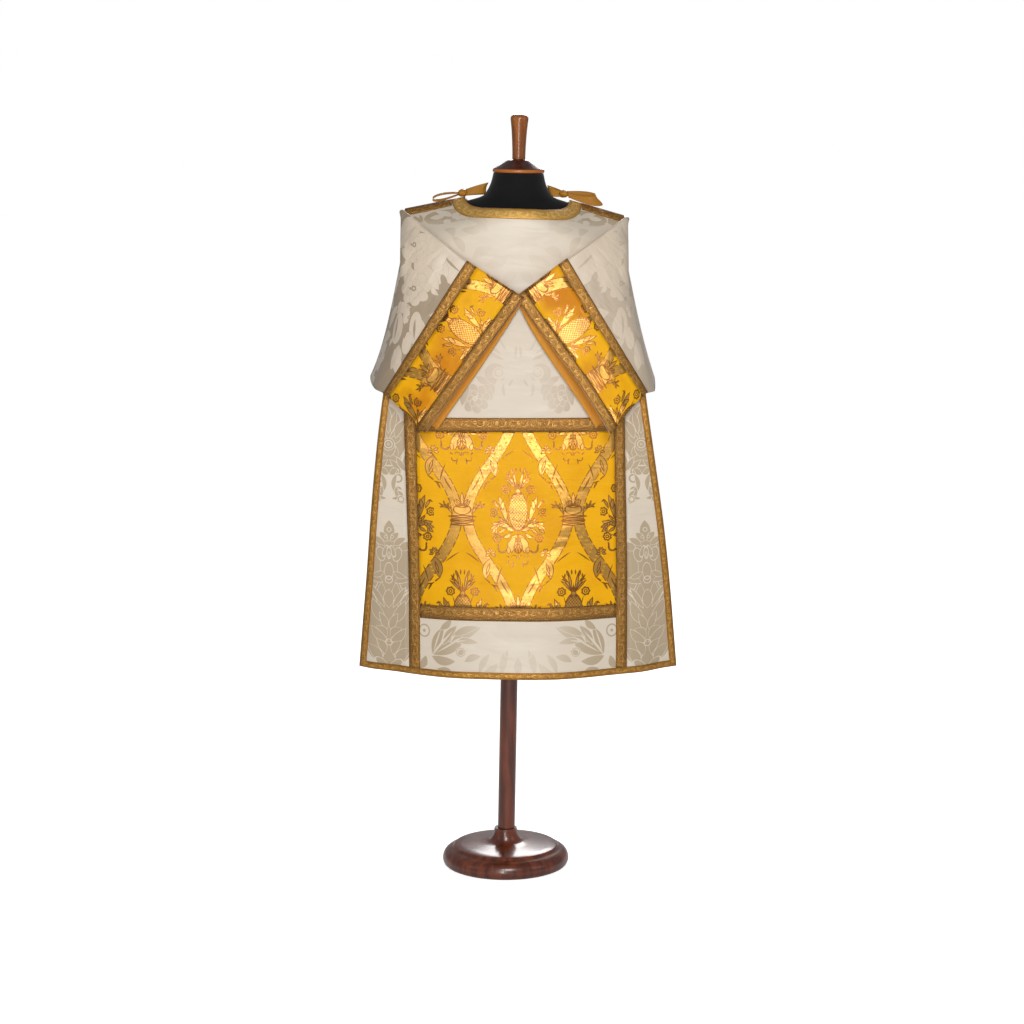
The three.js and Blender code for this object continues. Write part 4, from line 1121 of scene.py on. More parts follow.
def jersey_material():
    material, n, shader = new_material(
        "black jersey", Roughness=0.85, Sheen_Weight=0.12, Sheen_Roughness=0.5,
        Specular_IOR_Level=0.2,
    )
    place = object_spot(n)
    cloud = use_group(n, wear, Place=place, Size=14.0)["Cloud"]
    loops = n.noise(place, 900.0, 2.0)
    n.give(shader["Base Color"], shaded(n, JERSEY_BLACK, n.math("MULTIPLY", cloud, 0.9)))
    n.give(shader["Normal"], bumped(n, loops, 0.0003, 0.4))
    return material


def wood_material(name, dark, light, coat=0.6, bare_below=None):
    """Stained and polished beech, its grain upright; below a height the wood is left bare."""
    material, n, shader = new_material(name, Coat_Weight=coat, Coat_Roughness=0.16)
    place = object_spot(n)
    grain = n.noise(n.vector("MULTIPLY", place, (60, 60, 7)), 1.0, 4.0, distortion=0.6)
    pores = n.noise(n.vector("MULTIPLY", place, (700, 700, 30)), 1.0, 1.0)
    color = n.blend(n.step(grain, 0.35, 0.7), dark, light)
    if bare_below:
        height = n.vector("DOT_PRODUCT", place, (FORM_LEAN, 0, 1))
        bare = n.step(height, (bare_below + 0.7) * MM, (bare_below - 0.7) * MM)
        color = n.blend(bare, color, BARE_WOOD)
    n.give(shader["Base Color"], shaded(n, color, n.math("MULTIPLY_ADD", pores, 0.3, -0.15)))
    n.give(shader["Roughness"], n.math("MULTIPLY_ADD", grain, 0.15, 0.25))
    return material


jersey = jersey_material()
wood = wood_material("dark wood", srgb(84, 34, 16), srgb(122, 56, 26))
light_wood = wood_material("warm wood", srgb(126, 64, 16), srgb(170, 98, 30))

# %% [markdown]
# ## Front and back panels
# The two panels and their side gores are cut from the same damask. Every layer uses the
# same columns and the same heights, so that what is sewn on follows each crease of the
# cloth under it. The neck hole is cut on a curve, and its columns crowd towards the
# sides of the hole, where the edge is steepest.

# %% Columns and rows that all layers share
def steps(high, low, size):
    count = max(1, math.ceil(abs(high - low) / size))
    return [mix(high, low, k / count) for k in range(count)]


NECK_COLUMNS, ROLL_ROWS, REST_ROWS, LEVEL_STEP = 14, 14, 10, 6.5
TURNS = [90 * k / NECK_COLUMNS for k in range(NECK_COLUMNS + 1)]
HALF_COLUMNS = [NECK_HALF * math.sin(math.radians(turn)) for turn in TURNS]
HALF_COLUMNS += [121, 130] + steps(139, BAND_INNER, 9)
HALF_COLUMNS += steps(BAND_INNER, PANEL_HALF, 8) + [PANEL_HALF]
COLUMNS = [-x for x in reversed(HALF_COLUMNS[1:])] + HALF_COLUMNS
REST_Z = 1310
SEAM_LINES = [
    REST_Z, UNDERARM_Z, GORE_TOP_Z, APPAREL_TOP, APPAREL_INNER_TOP, APPAREL_INNER_LOW,
    APPAREL_LOW, HEM_Z + BORDER, HEM_Z,
]
LEVELS = sum((steps(a, b, LEVEL_STEP) for a, b in zip(SEAM_LINES, SEAM_LINES[1:])), [])
LEVELS += [HEM_Z]
GORE_SHARES = [0, 0.12, 0.24, 0.36, 0.48, 0.6, 0.72, 0.86, 1]


def neck_share(panel, turn, extra):
    reach = panel.roll(NECK_HALF * math.sin(turn))[0]
    inside = 1 - (panel.neck_depth - SHOULDER_SLIT) * math.cos(turn) / reach
    return 1 - math.sqrt(inside) + extra * math.cos(turn)


def top_share(panel, x):
    """Where the cloth starts at x: on the neck hole, or on the shoulder line."""
    if abs(x) >= NECK_HALF:
        return 0
    return neck_share(panel, math.asin(x / NECK_HALF), 0)


def down_of(panel, x, row):
    """A row is a share of the roll, a share of the stretch below it, or a height."""
    kind, value = row
    if kind == "roll":
        return mix(top_share(panel, x), 1, value)
    if kind == "rest":
        return mix(1, down_at(panel, x, REST_Z), value)
    return down_at(panel, x, value)


def pull_in(values):
    """The same list with its two ends drawn back by half a gap."""
    first, last = values[0], values[-1]
    step = GAP / 2 if last > first else -GAP / 2
    return [first + step, *values[1:-1], last - step]


def panel_piece(name, panel, columns, rows, level, thickness, material, cloth_map=None):
    """columns holds x, or a function of z; rows holds (kind, value), as down_of reads it."""

    def place(i, j):
        x = columns[i](rows[j][1]) if callable(columns[i]) else columns[i]
        down = down_of(panel, x, rows[j])
        spot = cloth_map(i, j) if cloth_map else (x, cloth_height(panel, x, down))
        return on_panel(panel, x, down, level), spot

    across, down = len(columns) - 1, len(rows) - 1
    return laid_grid(name, across, down, place, material, thickness, flip=panel.side < 0)


def heights(top, low):
    return [("z", z) for z in pull_in([z for z in LEVELS if low <= z <= top])]


# %% The damask panels and gores
BODY_ROWS = [("roll", k / ROLL_ROWS) for k in range(ROLL_ROWS + 1)]
BODY_ROWS += [("rest", k / REST_ROWS) for k in range(1, REST_ROWS)]
BODY_ROWS += [("z", z) for z in LEVELS]
SIDES = {"right": -1, "left": 1}


def gore_column(sign, share):
    return lambda z: sign * mix(PANEL_HALF + GAP / 2, gore_edge(z), share)


for face, panel in (("front", FRONT), ("back", BACK)):
    piece = panel_piece(
        f"{face}_panel_damask", panel, pull_in(COLUMNS), BODY_ROWS, 0, CLOTH, damask
    )
    finish_cloth(piece, f"{face}_panel")
    for word, sign in SIDES.items():
        shares = GORE_SHARES if sign > 0 else GORE_SHARES[::-1]
        gore = [gore_column(sign, share) for share in shares]
        rows = [("z", z) for z in LEVELS if z <= GORE_TOP_Z]
        piece = panel_piece(f"{face}_gore_damask_{word}", panel, gore, rows, 0, CLOTH, damask)
        finish_cloth(
            piece, f"{face}_gore_{word}"
        )

# %% [markdown]
# ## Apparels and galloon
# A brocade apparel fills the lower part of each panel between two galloons. Bands of the
# same galloon cover the gore seams and run down from the underarm, and a narrower
# one binds the open sides and the hem in one strip, mitred at its corners. The map of a
# galloon runs along it, so that its woven figure turns the corners with it.

# %% Brocade and galloon on the panels
INNER_COLUMNS = pull_in([x for x in COLUMNS if abs(x) <= BAND_INNER])
APPAREL_GALLOONS = [
    ("top", APPAREL_TOP, APPAREL_INNER_TOP), ("low", APPAREL_INNER_LOW, APPAREL_LOW),
]
SHOULDER_BRAID_ROWS, SHOULDER_ROW = 3, 8
for face, panel in (("front", FRONT), ("back", BACK)):
    rows = heights(APPAREL_INNER_TOP, APPAREL_INNER_LOW)
    piece = panel_piece(
        f"{face}_apparel_brocade", panel, INNER_COLUMNS, rows, SEWN_ON, BRAID, brocade
    )
    finish_cloth(piece, f"{face}_apparel")
    for word, top, low in APPAREL_GALLOONS:
        rows = heights(top, low)

        def along(i, j, rows=rows):
            return INNER_COLUMNS[i], rows[0][1] - rows[j][1]

        piece = panel_piece(
            f"{face}_apparel_braid_{word}", panel, INNER_COLUMNS, rows, SEWN_ON, BRAID,
            galloon, along,
        )
        node = f"{face}_apparel_galloon_{word}"
        finish_cloth(piece, node)
    for word, sign in SIDES.items():
        columns = pull_in(sorted(sign * x for x in HALF_COLUMNS if x >= BAND_INNER))
        rows = heights(UNDERARM_Z, HEM_Z + BORDER)

        def along(i, j, rows=rows, columns=columns):
            return rows[j][1], columns[i] - columns[0]

        piece = panel_piece(
            f"{face}_band_braid_{word}", panel, columns, rows, SEWN_ON, BRAID, galloon, along
        )
        node = f"{face}_band_galloon_{word}"
        finish_cloth(piece, node)
        columns = pull_in(sorted(sign * x for x in HALF_COLUMNS if x >= NECK_HALF + NECK_BRAID))
        shares = [k / SHOULDER_BRAID_ROWS for k in range(SHOULDER_BRAID_ROWS + 1)]
        rows = [("roll", mix(0.002, 0.12, share)) for share in shares]

        def along(i, j, columns=columns):
            return columns[i], SHOULDER_ROW * j

        piece = panel_piece(
            f"{face}_shoulder_braid_{word}", panel, columns, rows, SEWN_ON, BRAID, galloon, along
        )
        node = f"{face}_shoulder_galloon_{word}"
        finish_cloth(piece, node)


# %% The strip that binds the sides and the hem
def border_stations():
    """x and z of the strip at a share across it, from one gore top round to the other."""
    side = [z for z in LEVELS if HEM_Z + BORDER + 3 < z <= GORE_TOP_Z]
    hem = [x for x in COLUMNS if abs(x) < PANEL_HALF]
    gore = [mix(PANEL_HALF, gore_edge(HEM_Z) - BORDER - 4, k / 6) for k in range(7)]
    hem = [-x for x in reversed(gore)] + hem + gore
    stations = [("side", -1, z) for z in side] + [("corner", -1, 0)]
    stations += [("hem", 0, x) for x in hem] + [("corner", 1, 0)]
    return stations + [("side", 1, z) for z in reversed(side)]


def border_spot(station, share):
    kind, sign, value = station
    if kind == "hem":
        return value, HEM_Z + BORDER * share
    z = value if kind == "side" else HEM_Z + BORDER * share
    return sign * (gore_edge(z) - BORDER * share), z


STATIONS = border_stations()
for face, panel in (("front", FRONT), ("back", BACK)):
    runs = [0]
    for before, after in zip(STATIONS, STATIONS[1:]):
        (x0, z0), (x1, z1) = border_spot(before, 0.5), border_spot(after, 0.5)
        runs.append(runs[-1] + math.hypot(x1 - x0, z1 - z0))

    def place(i, j, panel=panel, runs=runs):
        share = mix(0.01, 0.99, j / 2)
        x, z = border_spot(STATIONS[i], share)
        return on_panel(panel, x, down_at(panel, x, z), SEWN_ON), (runs[i], BORDER * share)

    piece = laid_grid(
        f"{face}_border_braid", len(STATIONS) - 1, 2, place, border_galloon, BRAID,
        flip=panel.side > 0,
    )
    node = f"{face}_border_galloon"
    finish_cloth(piece, node)

# %% [markdown]
# ## The neck galloon
# The galloon round the neck lies on the curve of the hole. Woven braid can't bend flat
# round such a curve, so it is eased in: its inner edge ripples a little.

# %% Neck galloon
NECK_STEPS, NECK_ACROSS, NECK_END = 72, 4, 89.3
for face, panel in (("front", FRONT), ("back", BACK)):

    def place(i, j, panel=panel):
        turn = math.radians(mix(-NECK_END, NECK_END, i / NECK_STEPS))
        share = j / NECK_ACROSS
        x = mix(NECK_HALF + 0.2, NECK_HALF + NECK_BRAID, share) * math.sin(turn)
        down = neck_share(panel, turn, panel.neck_step * share)
        ripple = 0.25 * (1 - share) * math.sin(21 * turn + 2 * math.sin(5 * turn))
        run = (NECK_HALF + NECK_BRAID / 2) * turn
        return on_panel(panel, x, down, SEWN_ON + 0.2 + ripple), (run, NECK_BRAID * share)

    piece = laid_grid(
        f"{face}_neck_braid", NECK_STEPS, NECK_ACROSS, place, neck_galloon, BRAID,
        flip=panel.side < 0,
    )
    node = f"{face}_neck_galloon"
    finish_cloth(piece, node)

# %% [markdown]
# ## The sleeves
# Each sleeve is one piece of damask folded along its upper edge. The outer half
# starts at the back panel, comes round the shoulder and shows in front; the inner half
# starts at the front panel, doubles back and lies on the chest. Its shape is given as
# the fold, and three points down each half at a few places between armhole and cuff.

# %% Sleeve sections, in millimetres
# middle and mouth are x and z of the fold there, and lift is how far it stands off the
# chest at the mouth.
# Each section: share of the way from the armhole to the mouth, then x, y and z at a
# third, two thirds and all of the way from the fold to the lower edge.
RIGHT_SLEEVE = {
    "side": -1, "middle": (106, 1351), "mouth": (-9, 1278), "lift": 34,
    "outer": [
        (0.1, (243, 257, 282), (16, 54, 74), (1342, 1222, 1116)),
        (0.22, (247, 275, 313), (-60, -20, -6), (1338, 1214, 1102)),
        (0.42, (222, 258, 301), (-121, -112, -86), (1300, 1196, 1084)),
        (0.62, (168, 222, 279), (-148, -148, -126), (1262, 1171, 1077)),
        (1, (60, 126, 191), (-181, -194, -206), (1187, 1095, 1002)),
    ],
    "inner": [
        (0.07, (243, 247, 255), (-76, -88, -96), (1328, 1228, 1116)),
        (0.14, (242, 251, 266), (-90, -96, -103), (1325, 1222, 1110)),
        (0.22, (228, 243, 261), (-99, -106, -112), (1320, 1212, 1104)),
        (0.42, (192, 223, 253), (-112, -112, -114), (1300, 1185, 1078)),
        (0.62, (152, 201, 249), (-124, -121, -121), (1256, 1164, 1075)),
        (1, (44, 106, 169), (-142, -139, -139), (1187, 1093, 1000)),
    ],
}
LEFT_SLEEVE = {
    "side": 1, "middle": (97, 1351), "mouth": (-3, 1278), "lift": 13,
    "outer": [
        (0.1, (242, 257, 280), (16, 54, 74), (1338, 1222, 1116)),
        (0.22, (245, 271, 305), (-60, -20, -6), (1330, 1216, 1098)),
        (0.42, (224, 264, 301), (-118, -112, -88), (1300, 1198, 1078)),
        (0.62, (172, 229, 284), (-142, -142, -126), (1259, 1170, 1078)),
        (1, (66, 138, 200), (-160, -176, -204), (1187, 1092, 998)),
    ],
    "inner": [
        (0.07, (243, 247, 255), (-74, -88, -96), (1326, 1228, 1118)),
        (0.14, (242, 251, 266), (-88, -96, -104), (1322, 1222, 1113)),
        (0.22, (228, 245, 263), (-99, -106, -112), (1316, 1212, 1106)),
        (0.42, (192, 226, 256), (-112, -113, -116), (1298, 1187, 1086)),
        (0.62, (152, 206, 254), (-123, -122, -122), (1255, 1164, 1077)),
        (1, (44, 108, 170), (-138, -138, -139), (1187, 1095, 1004)),
    ],
}
RIDGE_START = [(237.8, -1), (240, -6), (241, -19), (240, -38)]
RIDGE_STEPS = [(0.12, 28), (0.35, 23), (0.65, 17), (1, 14)]
RIDGE_TIP_X = 236
FOLD_RADIUS = 5
SLEEVE_SEAM_X = PANEL_HALF + 1.8
# How far each half keeps in front of the panel and outside its edge, and whether it is
# only ever moved forward.
OUTER_CLEAR, INNER_CLEAR = (20, 7, False), (10, 34, True)
CUFF_FROM, BROCADE_FROM, BROCADE_TO = 0.62, 0.6875, 0.9325
HALF_ROWS = 34
FOLD_TURNS = [30, 60, 90, 120, 150]
SLEEVE_SHARES = (
    steps(0, 0.22, 0.02) + steps(0.22, CUFF_FROM, 0.025) + steps(CUFF_FROM, BROCADE_FROM, 0.02)
    + steps(BROCADE_FROM, BROCADE_TO, 0.025) + steps(BROCADE_TO, 1, 0.02) + [1]
)


# %% The fold along the top of a sleeve
def smooth_line(points, count=320):
    """A centripetal curve through the points, as evenly spaced points on it."""
    points = [2 * points[0] - points[1], *points, 2 * points[-1] - points[-2]]
    dense = []
    for p0, p1, p2, p3 in zip(points, points[1:], points[2:], points[3:]):
        d0, d1, d2 = [math.sqrt((b - a).length) for a, b in ((p0, p1), (p1, p2), (p2, p3))]
        m1 = ((p1 - p0) / d0 - (p2 - p0) / (d0 + d1) + (p2 - p1) / d1) * d1
        m2 = ((p2 - p1) / d1 - (p3 - p1) / (d1 + d2) + (p3 - p2) / d2) * d1
        for k in range(60):
            t = k / 60
            a, b = 2 * t**3 - 3 * t**2 + 1, t**3 - 2 * t**2 + t
            dense.append(p1 * a + m1 * b + p2 * (1 - a) + m2 * (t**3 - t**2))
    dense.append(points[-2])
    return evenly_spaced(dense, count)


def evenly_spaced(line, count):
    runs = [0]
    for before, after in zip(line, line[1:]):
        runs.append(runs[-1] + (after - before).length)
    spaced, k = [], 1
    for n in range(count + 1):
        wanted = runs[-1] * n / count
        while k < len(line) - 1 and runs[k] < wanted:
            k += 1
        share = (wanted - runs[k - 1]) / (runs[k] - runs[k - 1])
        spaced.append(line[k - 1].lerp(line[k], clamp(share, 0, 1)))
    return spaced


def at_share(line, share):
    spot = clamp(share, 0, 1) * (len(line) - 1)
    k = min(int(spot), len(line) - 2)
    return line[k].lerp(line[k + 1], spot - k)


def front_depth(x, z):
    """How far the front panel's smooth form stands from the shoulder line."""
    reach, lead, height = FRONT.roll(x)
    drop = max(0, shoulder_z(x) - z)
    if drop >= height:
        return FRONT.hang_depth(x, z)
    t = drop / (lead + math.sqrt(lead * lead + (height - 2 * lead) * drop))
    return SHOULDER_SLIT + reach * (2 - t) * t


def ridge_of(sleeve):
    side = sleeve["side"]
    start = []
    for i, (x, y) in enumerate(RIDGE_START):
        z = shoulder_z(side * x) - FOLD_RADIUS - CLOTH / 2 + 0.6 * i
        start.append(Vector((x, y, z)))
    tip_z = shoulder_z(side * RIDGE_TIP_X) - 7
    (mx, mz), (ox, oz) = sleeve["middle"], sleeve["mouth"]
    last_lift = RIDGE_STEPS[-1][1]
    line = [(mix(RIDGE_TIP_X, mx, s), mix(tip_z, mz, s), lift) for s, lift in RIDGE_STEPS]
    line.append((mix(mx, ox, 0.5), mix(mz, oz, 0.5), mix(last_lift, sleeve["lift"], 0.45)))
    line.append((ox, oz, sleeve["lift"]))
    lifted = []
    for x, z, lift in line:
        low, out = z, Vector((0, -1, 0))
        for _ in range(6):
            dx = front_depth(side * (x + 0.5), low) - front_depth(side * (x - 0.5), low)
            dz = front_depth(side * x, low + 0.5) - front_depth(side * x, low - 0.5)
            out = Vector((-dx, -1, -dz)).normalized()
            low = z - lift * out.z
        lifted.append(Vector((x, -front_depth(side * x, low) + lift * out.y, z)))
    return smooth_line(start + lifted)


def smooth_point(panel, x, down):
    reach, lead, height = panel.roll(x)
    if down <= 1:
        y = SHOULDER_SLIT + reach * (2 - down) * down
        z = shoulder_z(x) - 2 * down * (1 - down) * lead - down * down * height
    else:
        z = shoulder_z(x) - height - (down - 1)
        y = panel.hang_depth(x, z)
    return Vector((x, panel.side * y, z))


def armhole(panel, side):
    """The panel's armhole edge, from the shoulder to the underarm."""
    x = side * PANEL_HALF
    low = down_at(panel, x, UNDERARM_Z)
    path = [smooth_point(panel, x, k / 60) for k in range(61)]
    path += [smooth_point(panel, x, mix(1, low, k / 60)) for k in range(1, 61)]
    return evenly_spaced(path, 240)


# %% The whole sheet of a sleeve
def clear_of_panel(p, side, front, edge, forward_only):
    """Moves a point that would lie in the front panel forward or outward."""
    forward = front_depth(side * p.x, p.z) + front + p.y
    out = PANEL_HALF + edge - p.x
    if forward <= 0 or out <= 0:
        return
    if forward_only or forward < out:
        p.y -= forward
    else:
        p.x += out


def sleeve_points(sleeve):
    side = sleeve["side"]
    ridge = ridge_of(sleeve)

    def fold(share, turn):
        along = (at_share(ridge, share + 0.004) - at_share(ridge, share - 0.004)).normalized()
        out = Vector((0, 0, 1)).cross(along).normalized()
        top = along.cross(out).normalized()
        place = at_share(ridge, share)
        return place + out * FOLD_RADIUS * math.cos(turn) + top * FOLD_RADIUS * math.sin(turn)

    def half_row(sections, edge_line, clearance, turn, t):
        if t == 0:
            return [fold(share, turn) for share in SLEEVE_SHARES]
        first = at_share(edge_line, t)
        first.x = SLEEVE_SEAM_X
        stops = [first]
        u, v, w = 3 * t - 1, 3 * t - 2, t - 1
        for at, xs, ys, zs in sections:
            start = fold(at, turn)
            axes = []
            for a, (b, c, d) in zip(start, (xs, ys, zs)):
                cubic = 9 * b * t * v * w - a * u * v * w - 9 * c * t * u * w + d * t * u * v
                axes.append(cubic / 2)
            stops.append(Vector(axes))
        at = [0] + [section[0] for section in sections]
        curves = [curve_through(at, [stop[k] for stop in stops]) for k in range(3)]
        row = []
        for share in SLEEVE_SHARES:
            p = Vector([curve(share) for curve in curves])
            if share >= 0.08:
                clear_of_panel(p, side, *clearance)
            row.append(p)
        return row

    back_edge, front_edge = armhole(BACK, side), armhole(FRONT, side)
    shares = [k / HALF_ROWS for k in range(HALF_ROWS + 1)]
    outer, inner = sleeve["outer"], sleeve["inner"]
    rows = [half_row(outer, back_edge, OUTER_CLEAR, 0, t) for t in reversed(shares)]
    for turn in FOLD_TURNS:
        rows.append([fold(share, math.radians(turn)) for share in SLEEVE_SHARES])
    rows += [half_row(inner, front_edge, INNER_CLEAR, math.pi, t) for t in shares]
    for row in rows:
        for p in row:
            p.x *= side
    return [[swayed(p) for p in row] for row in rows]


def sheet_normals(points, sign):
    rows, columns = len(points), len(points[0])
    normals = []
    for i in range(rows):
        line = []
        for j in range(columns):
            across = points[i][min(j + 1, columns - 1)] - points[i][max(j - 1, 0)]
            down = points[min(i + 1, rows - 1)][j] - points[max(i - 1, 0)][j]
            line.append(across.cross(down).normalized() * sign)
        normals.append(line)
    return normals


def sleeve_map(points):
    """Flat place of each point: across from the fold, and along from the mouth."""
    middle = HALF_ROWS + 3
    across = [0] * len(points)
    for i in range(1, len(points)):
        across[i] = across[i - 1] + (points[i][-1] - points[i - 1][-1]).length
    flat = []
    for i, row in enumerate(points):
        along = [0] * len(row)
        for j in range(len(row) - 2, -1, -1):
            along[j] = along[j + 1] + (row[j] - row[j + 1]).length
        flat.append([(across[middle] - across[i], value) for value in along])
    return flat


# %% Cutting the sleeve, cuff, galloons and lining from that sheet
def share_range(low, high):
    return [k for k, s in enumerate(SLEEVE_SHARES) if low - 1e-6 <= s <= high + 1e-6]


for word, sleeve in (("right", RIGHT_SLEEVE), ("left", LEFT_SLEEVE)):
    points = sleeve_points(sleeve)
    normals = sheet_normals(points, -sleeve["side"])
    flat = sleeve_map(points)

    def cut(
        name, node, low, high, level, thickness, material, turned=False
    ):
        """The strip of the sheet from one share to another; turned maps it along its length."""
        picked = share_range(low, high)

        def place(i, j):
            k = picked[i]
            p = points[j][k] + normals[j][k] * level
            if len(picked) < len(SLEEVE_SHARES) and i in (0, len(picked) - 1):
                near = points[j][picked[1]] if i == 0 else points[j][picked[-2]]
                p += (near - points[j][k]).normalized() * GAP / 2
            across, along = flat[j][k]
            if turned:
                return p, (across, flat[j][picked[0]][1] - along)
            return p, (across, along)

        piece = laid_grid(
            name, len(picked) - 1, len(points) - 1, place, material, thickness,
            flip=sleeve["side"] > 0,
        )
        finish_cloth(piece, node)

    cut(f"sleeve_damask_{word}", f"sleeve_{word}", 0, 1, 0, CLOTH,
        sleeve_damask[word])
    cut(f"cuff_brocade_{word}", f"cuff_{word}", BROCADE_FROM, BROCADE_TO, SEWN_ON,
        BRAID, cuff_brocade)
    cut(f"cuff_seam_braid_{word}", f"cuff_galloon_seam_{word}", CUFF_FROM, BROCADE_FROM,
        SEWN_ON, BRAID, galloon, turned=True)
    cut(f"cuff_edge_braid_{word}", f"cuff_galloon_edge_{word}", BROCADE_TO, 1,
        SEWN_ON, BRAID, galloon, turned=True)
    cut(f"sleeve_satin_{word}", f"sleeve_lining_{word}", CUFF_FROM, 1,
        -CLOTH / 2 - GAP - LINING / 2, LINING, satin)

# %% [markdown]
# ## Ribbon bows
# A bow of satin ribbon ties front and back together on each shoulder. Each loop is a
# strip that leaves the knot, turns over and comes back. A narrow wrap of ribbon
# gathers them in the middle.

# %% Ribbon loops
# tip of the loop, how far its two sides part, the ribbon's width, pinch at the knot,
# and the waves pressed into it
BOWS = {
    "right": {
        "knot": (-120, 7, 1497), "size": (9, 11, 8),
        "outer": ((-184, 4, 1485), (4, 4, 13), (0, 12, 5), 0.6, 0.8),
        "inner": ((-68, 12, 1507), (0, 24, -2), (6, 5, 25), 0.5, 1.2),
    },
    "left": {
        "knot": (98, 9, 1495), "size": (9, 11, 8),
        "outer": ((174, 11, 1482), (6, 18, 9), (-16, 7, 23), 0.45, 1.4),
        "inner": ((66, 14, 1502), (0, 18, 3), (-6, 6, 21), 0.6, 1.0),
    },
}
LOOP_STEPS, LOOP_ACROSS, LOOP_CLEAR = 40, 6, 0.03
KNOT_ROUND, KNOT_ACROSS = 24, 8
RIBBON = BRAID * 0.6

for word, bow in BOWS.items():
    knot = Vector(bow["knot"])
    for loop_name in ("outer", "inner"):
        tip, puff, across, pinch, wave = bow[loop_name]
        tip, puff, across = Vector(tip), Vector(puff), Vector(across)
        aside = puff.cross(across).normalized()
        length = 2 * (tip - knot).length

        def place(i, j):
            s = mix(LOOP_CLEAR, 1 - LOOP_CLEAR, i / LOOP_STEPS)
            reach = math.sin(math.pi * s)
            edge = j / LOOP_ACROSS - 0.5
            p = knot.lerp(tip, reach) + puff * math.sin(2 * math.pi * s) / 2
            p += across * edge * mix(pinch, 1, reach)
            gather = math.sin(3 * math.pi * (edge + 0.5)) * (1 - reach) * 1.2
            ripple = math.sin(9 * s + 5 * edge) * reach
            p += aside * wave * (gather + ripple)
            return p, (length * s, across.length * (edge + 0.5))

        name = f"bow_ribbon_{loop_name}_{word}"
        piece = laid_grid(name, LOOP_STEPS, LOOP_ACROSS, place, ribbon, RIBBON)
        finish_cloth(
            piece, f"bow_{word}_loop_{loop_name}",
        )

    def place(i, j):
        angle = 2 * math.pi * i / KNOT_ROUND
        share = j / KNOT_ACROSS * 2 - 1
        bulge = math.sqrt(max(0.0, 1 - 0.72 * share * share))
        pleat = 1 + 0.05 * math.sin(5 * angle + 4 * share)
        size = Vector(bow["size"])
        p = Vector((
            share * size.x, math.cos(angle) * bulge * size.y * pleat,
            math.sin(angle) * bulge * size.z * pleat,
        ))
        return knot + p, (angle * 8, share * 7)

    piece = laid_grid(f"bow_wrap_{word}", KNOT_ROUND, KNOT_ACROSS, place, ribbon, RIBBON)
    finish_cloth(
        piece, f"bow_{word}_knot",
    )

# %% [markdown]
# ## The dress form
# The form has no arms. Its body is padded and covered in black jersey, drawn up to a
# flat neck. A turned wooden cap and finial close the neck, and a wooden pole
# carries it on a heavy round foot. Turned pieces are spun from their profile.

# %% The jersey body
FORM_LEAN, TORSO_LEAN = 0.0184, 0.02
FORM_LOW_Z, FORM_TOP_Z = 832, 1540
TORSO = [
    # height, half width, half depth, roundness: 2 is an ellipse and 1 a diamond
    (832, 96, 66, 2), (838, 132, 92, 2), (856, 150, 103, 2), (920, 154, 106, 2),
    (1060, 141, 95, 2), (1180, 154, 103, 2), (1300, 170, 110, 2), (1380, 186, 105, 1.95),
    (1425, 196, 92, 1.7), (1443, 195, 82, 1.45), (1455, 182, 74, 1.25), (1469, 146, 70, 1.2),
    (1481, 102, 66, 1.35), (1490, 76, 63, 1.8), (1505, 65, 60, 2), (1522, 58, 56, 2),
    (1540, 54, 54, 2),
]
torso_curves = [curve_through([r[0] for r in TORSO], [r[k] for r in TORSO]) for k in (1, 2, 3)]
TORSO_HEIGHTS = (
    steps(832, 856, 6) + steps(856, 1380, 24) + steps(1380, 1443, 9) + steps(1443, 1490, 4)
    + steps(1490, 1540, 6) + [1540]
)


def torso_ring(bm, verts, z):
    w, d, p = [curve(z) for curve in torso_curves]
    for k, v in enumerate(verts):
        a = 2 * math.pi * k / len(verts)
        c, s = math.cos(a), math.sin(a)
        x = w * math.copysign(abs(c) ** (2 / p), c)
        y = d * math.copysign(abs(s) ** (2 / p), s)
        v.co = Vector((FORM_LEAN * z + x, y, z - TORSO_LEAN * x)) * MM


torso_bm = bmesh.new()
ring = bmesh.ops.create_circle(torso_bm, segments=96, radius=0.1, cap_ends=True)["verts"]
torso_bm.verts.ensure_lookup_table()
bottom = torso_bm.faces[:][0]
bmesh.ops.reverse_faces(torso_bm, faces=[bottom])
edges = bottom.edges[:]
torso_ring(torso_bm, ring, TORSO_HEIGHTS[0])
low_z = TORSO_HEIGHTS[0]
for z in TORSO_HEIGHTS[1:]:
    made = bmesh.ops.extrude_edge_only(torso_bm, edges=edges)["geom"]
    new_verts = [g for g in made if isinstance(g, bmesh.types.BMVert)]
    new_edges = [g for g in made if isinstance(g, bmesh.types.BMEdge)]
    edges = [e for e in new_edges if all(v in new_verts for v in e.verts)]
    middle = FORM_LEAN * low_z * MM
    new_verts.sort(key=lambda v: (math.atan2(v.co.y, v.co.x - middle) + 0.01) % (2 * math.pi))
    torso_ring(torso_bm, new_verts, z)
    low_z = z
bmesh.ops.contextual_create(torso_bm, geom=edges)
bmesh.ops.recalc_face_normals(torso_bm, faces=torso_bm.faces[:])
for face in torso_bm.faces:
    face.smooth = len(face.verts) == 4
torso = object_of("form_jersey_body", torso_bm, jersey)
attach(torso, "root")
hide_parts("form_torso")
print("jersey body:", len(torso.data.polygons), "faces")

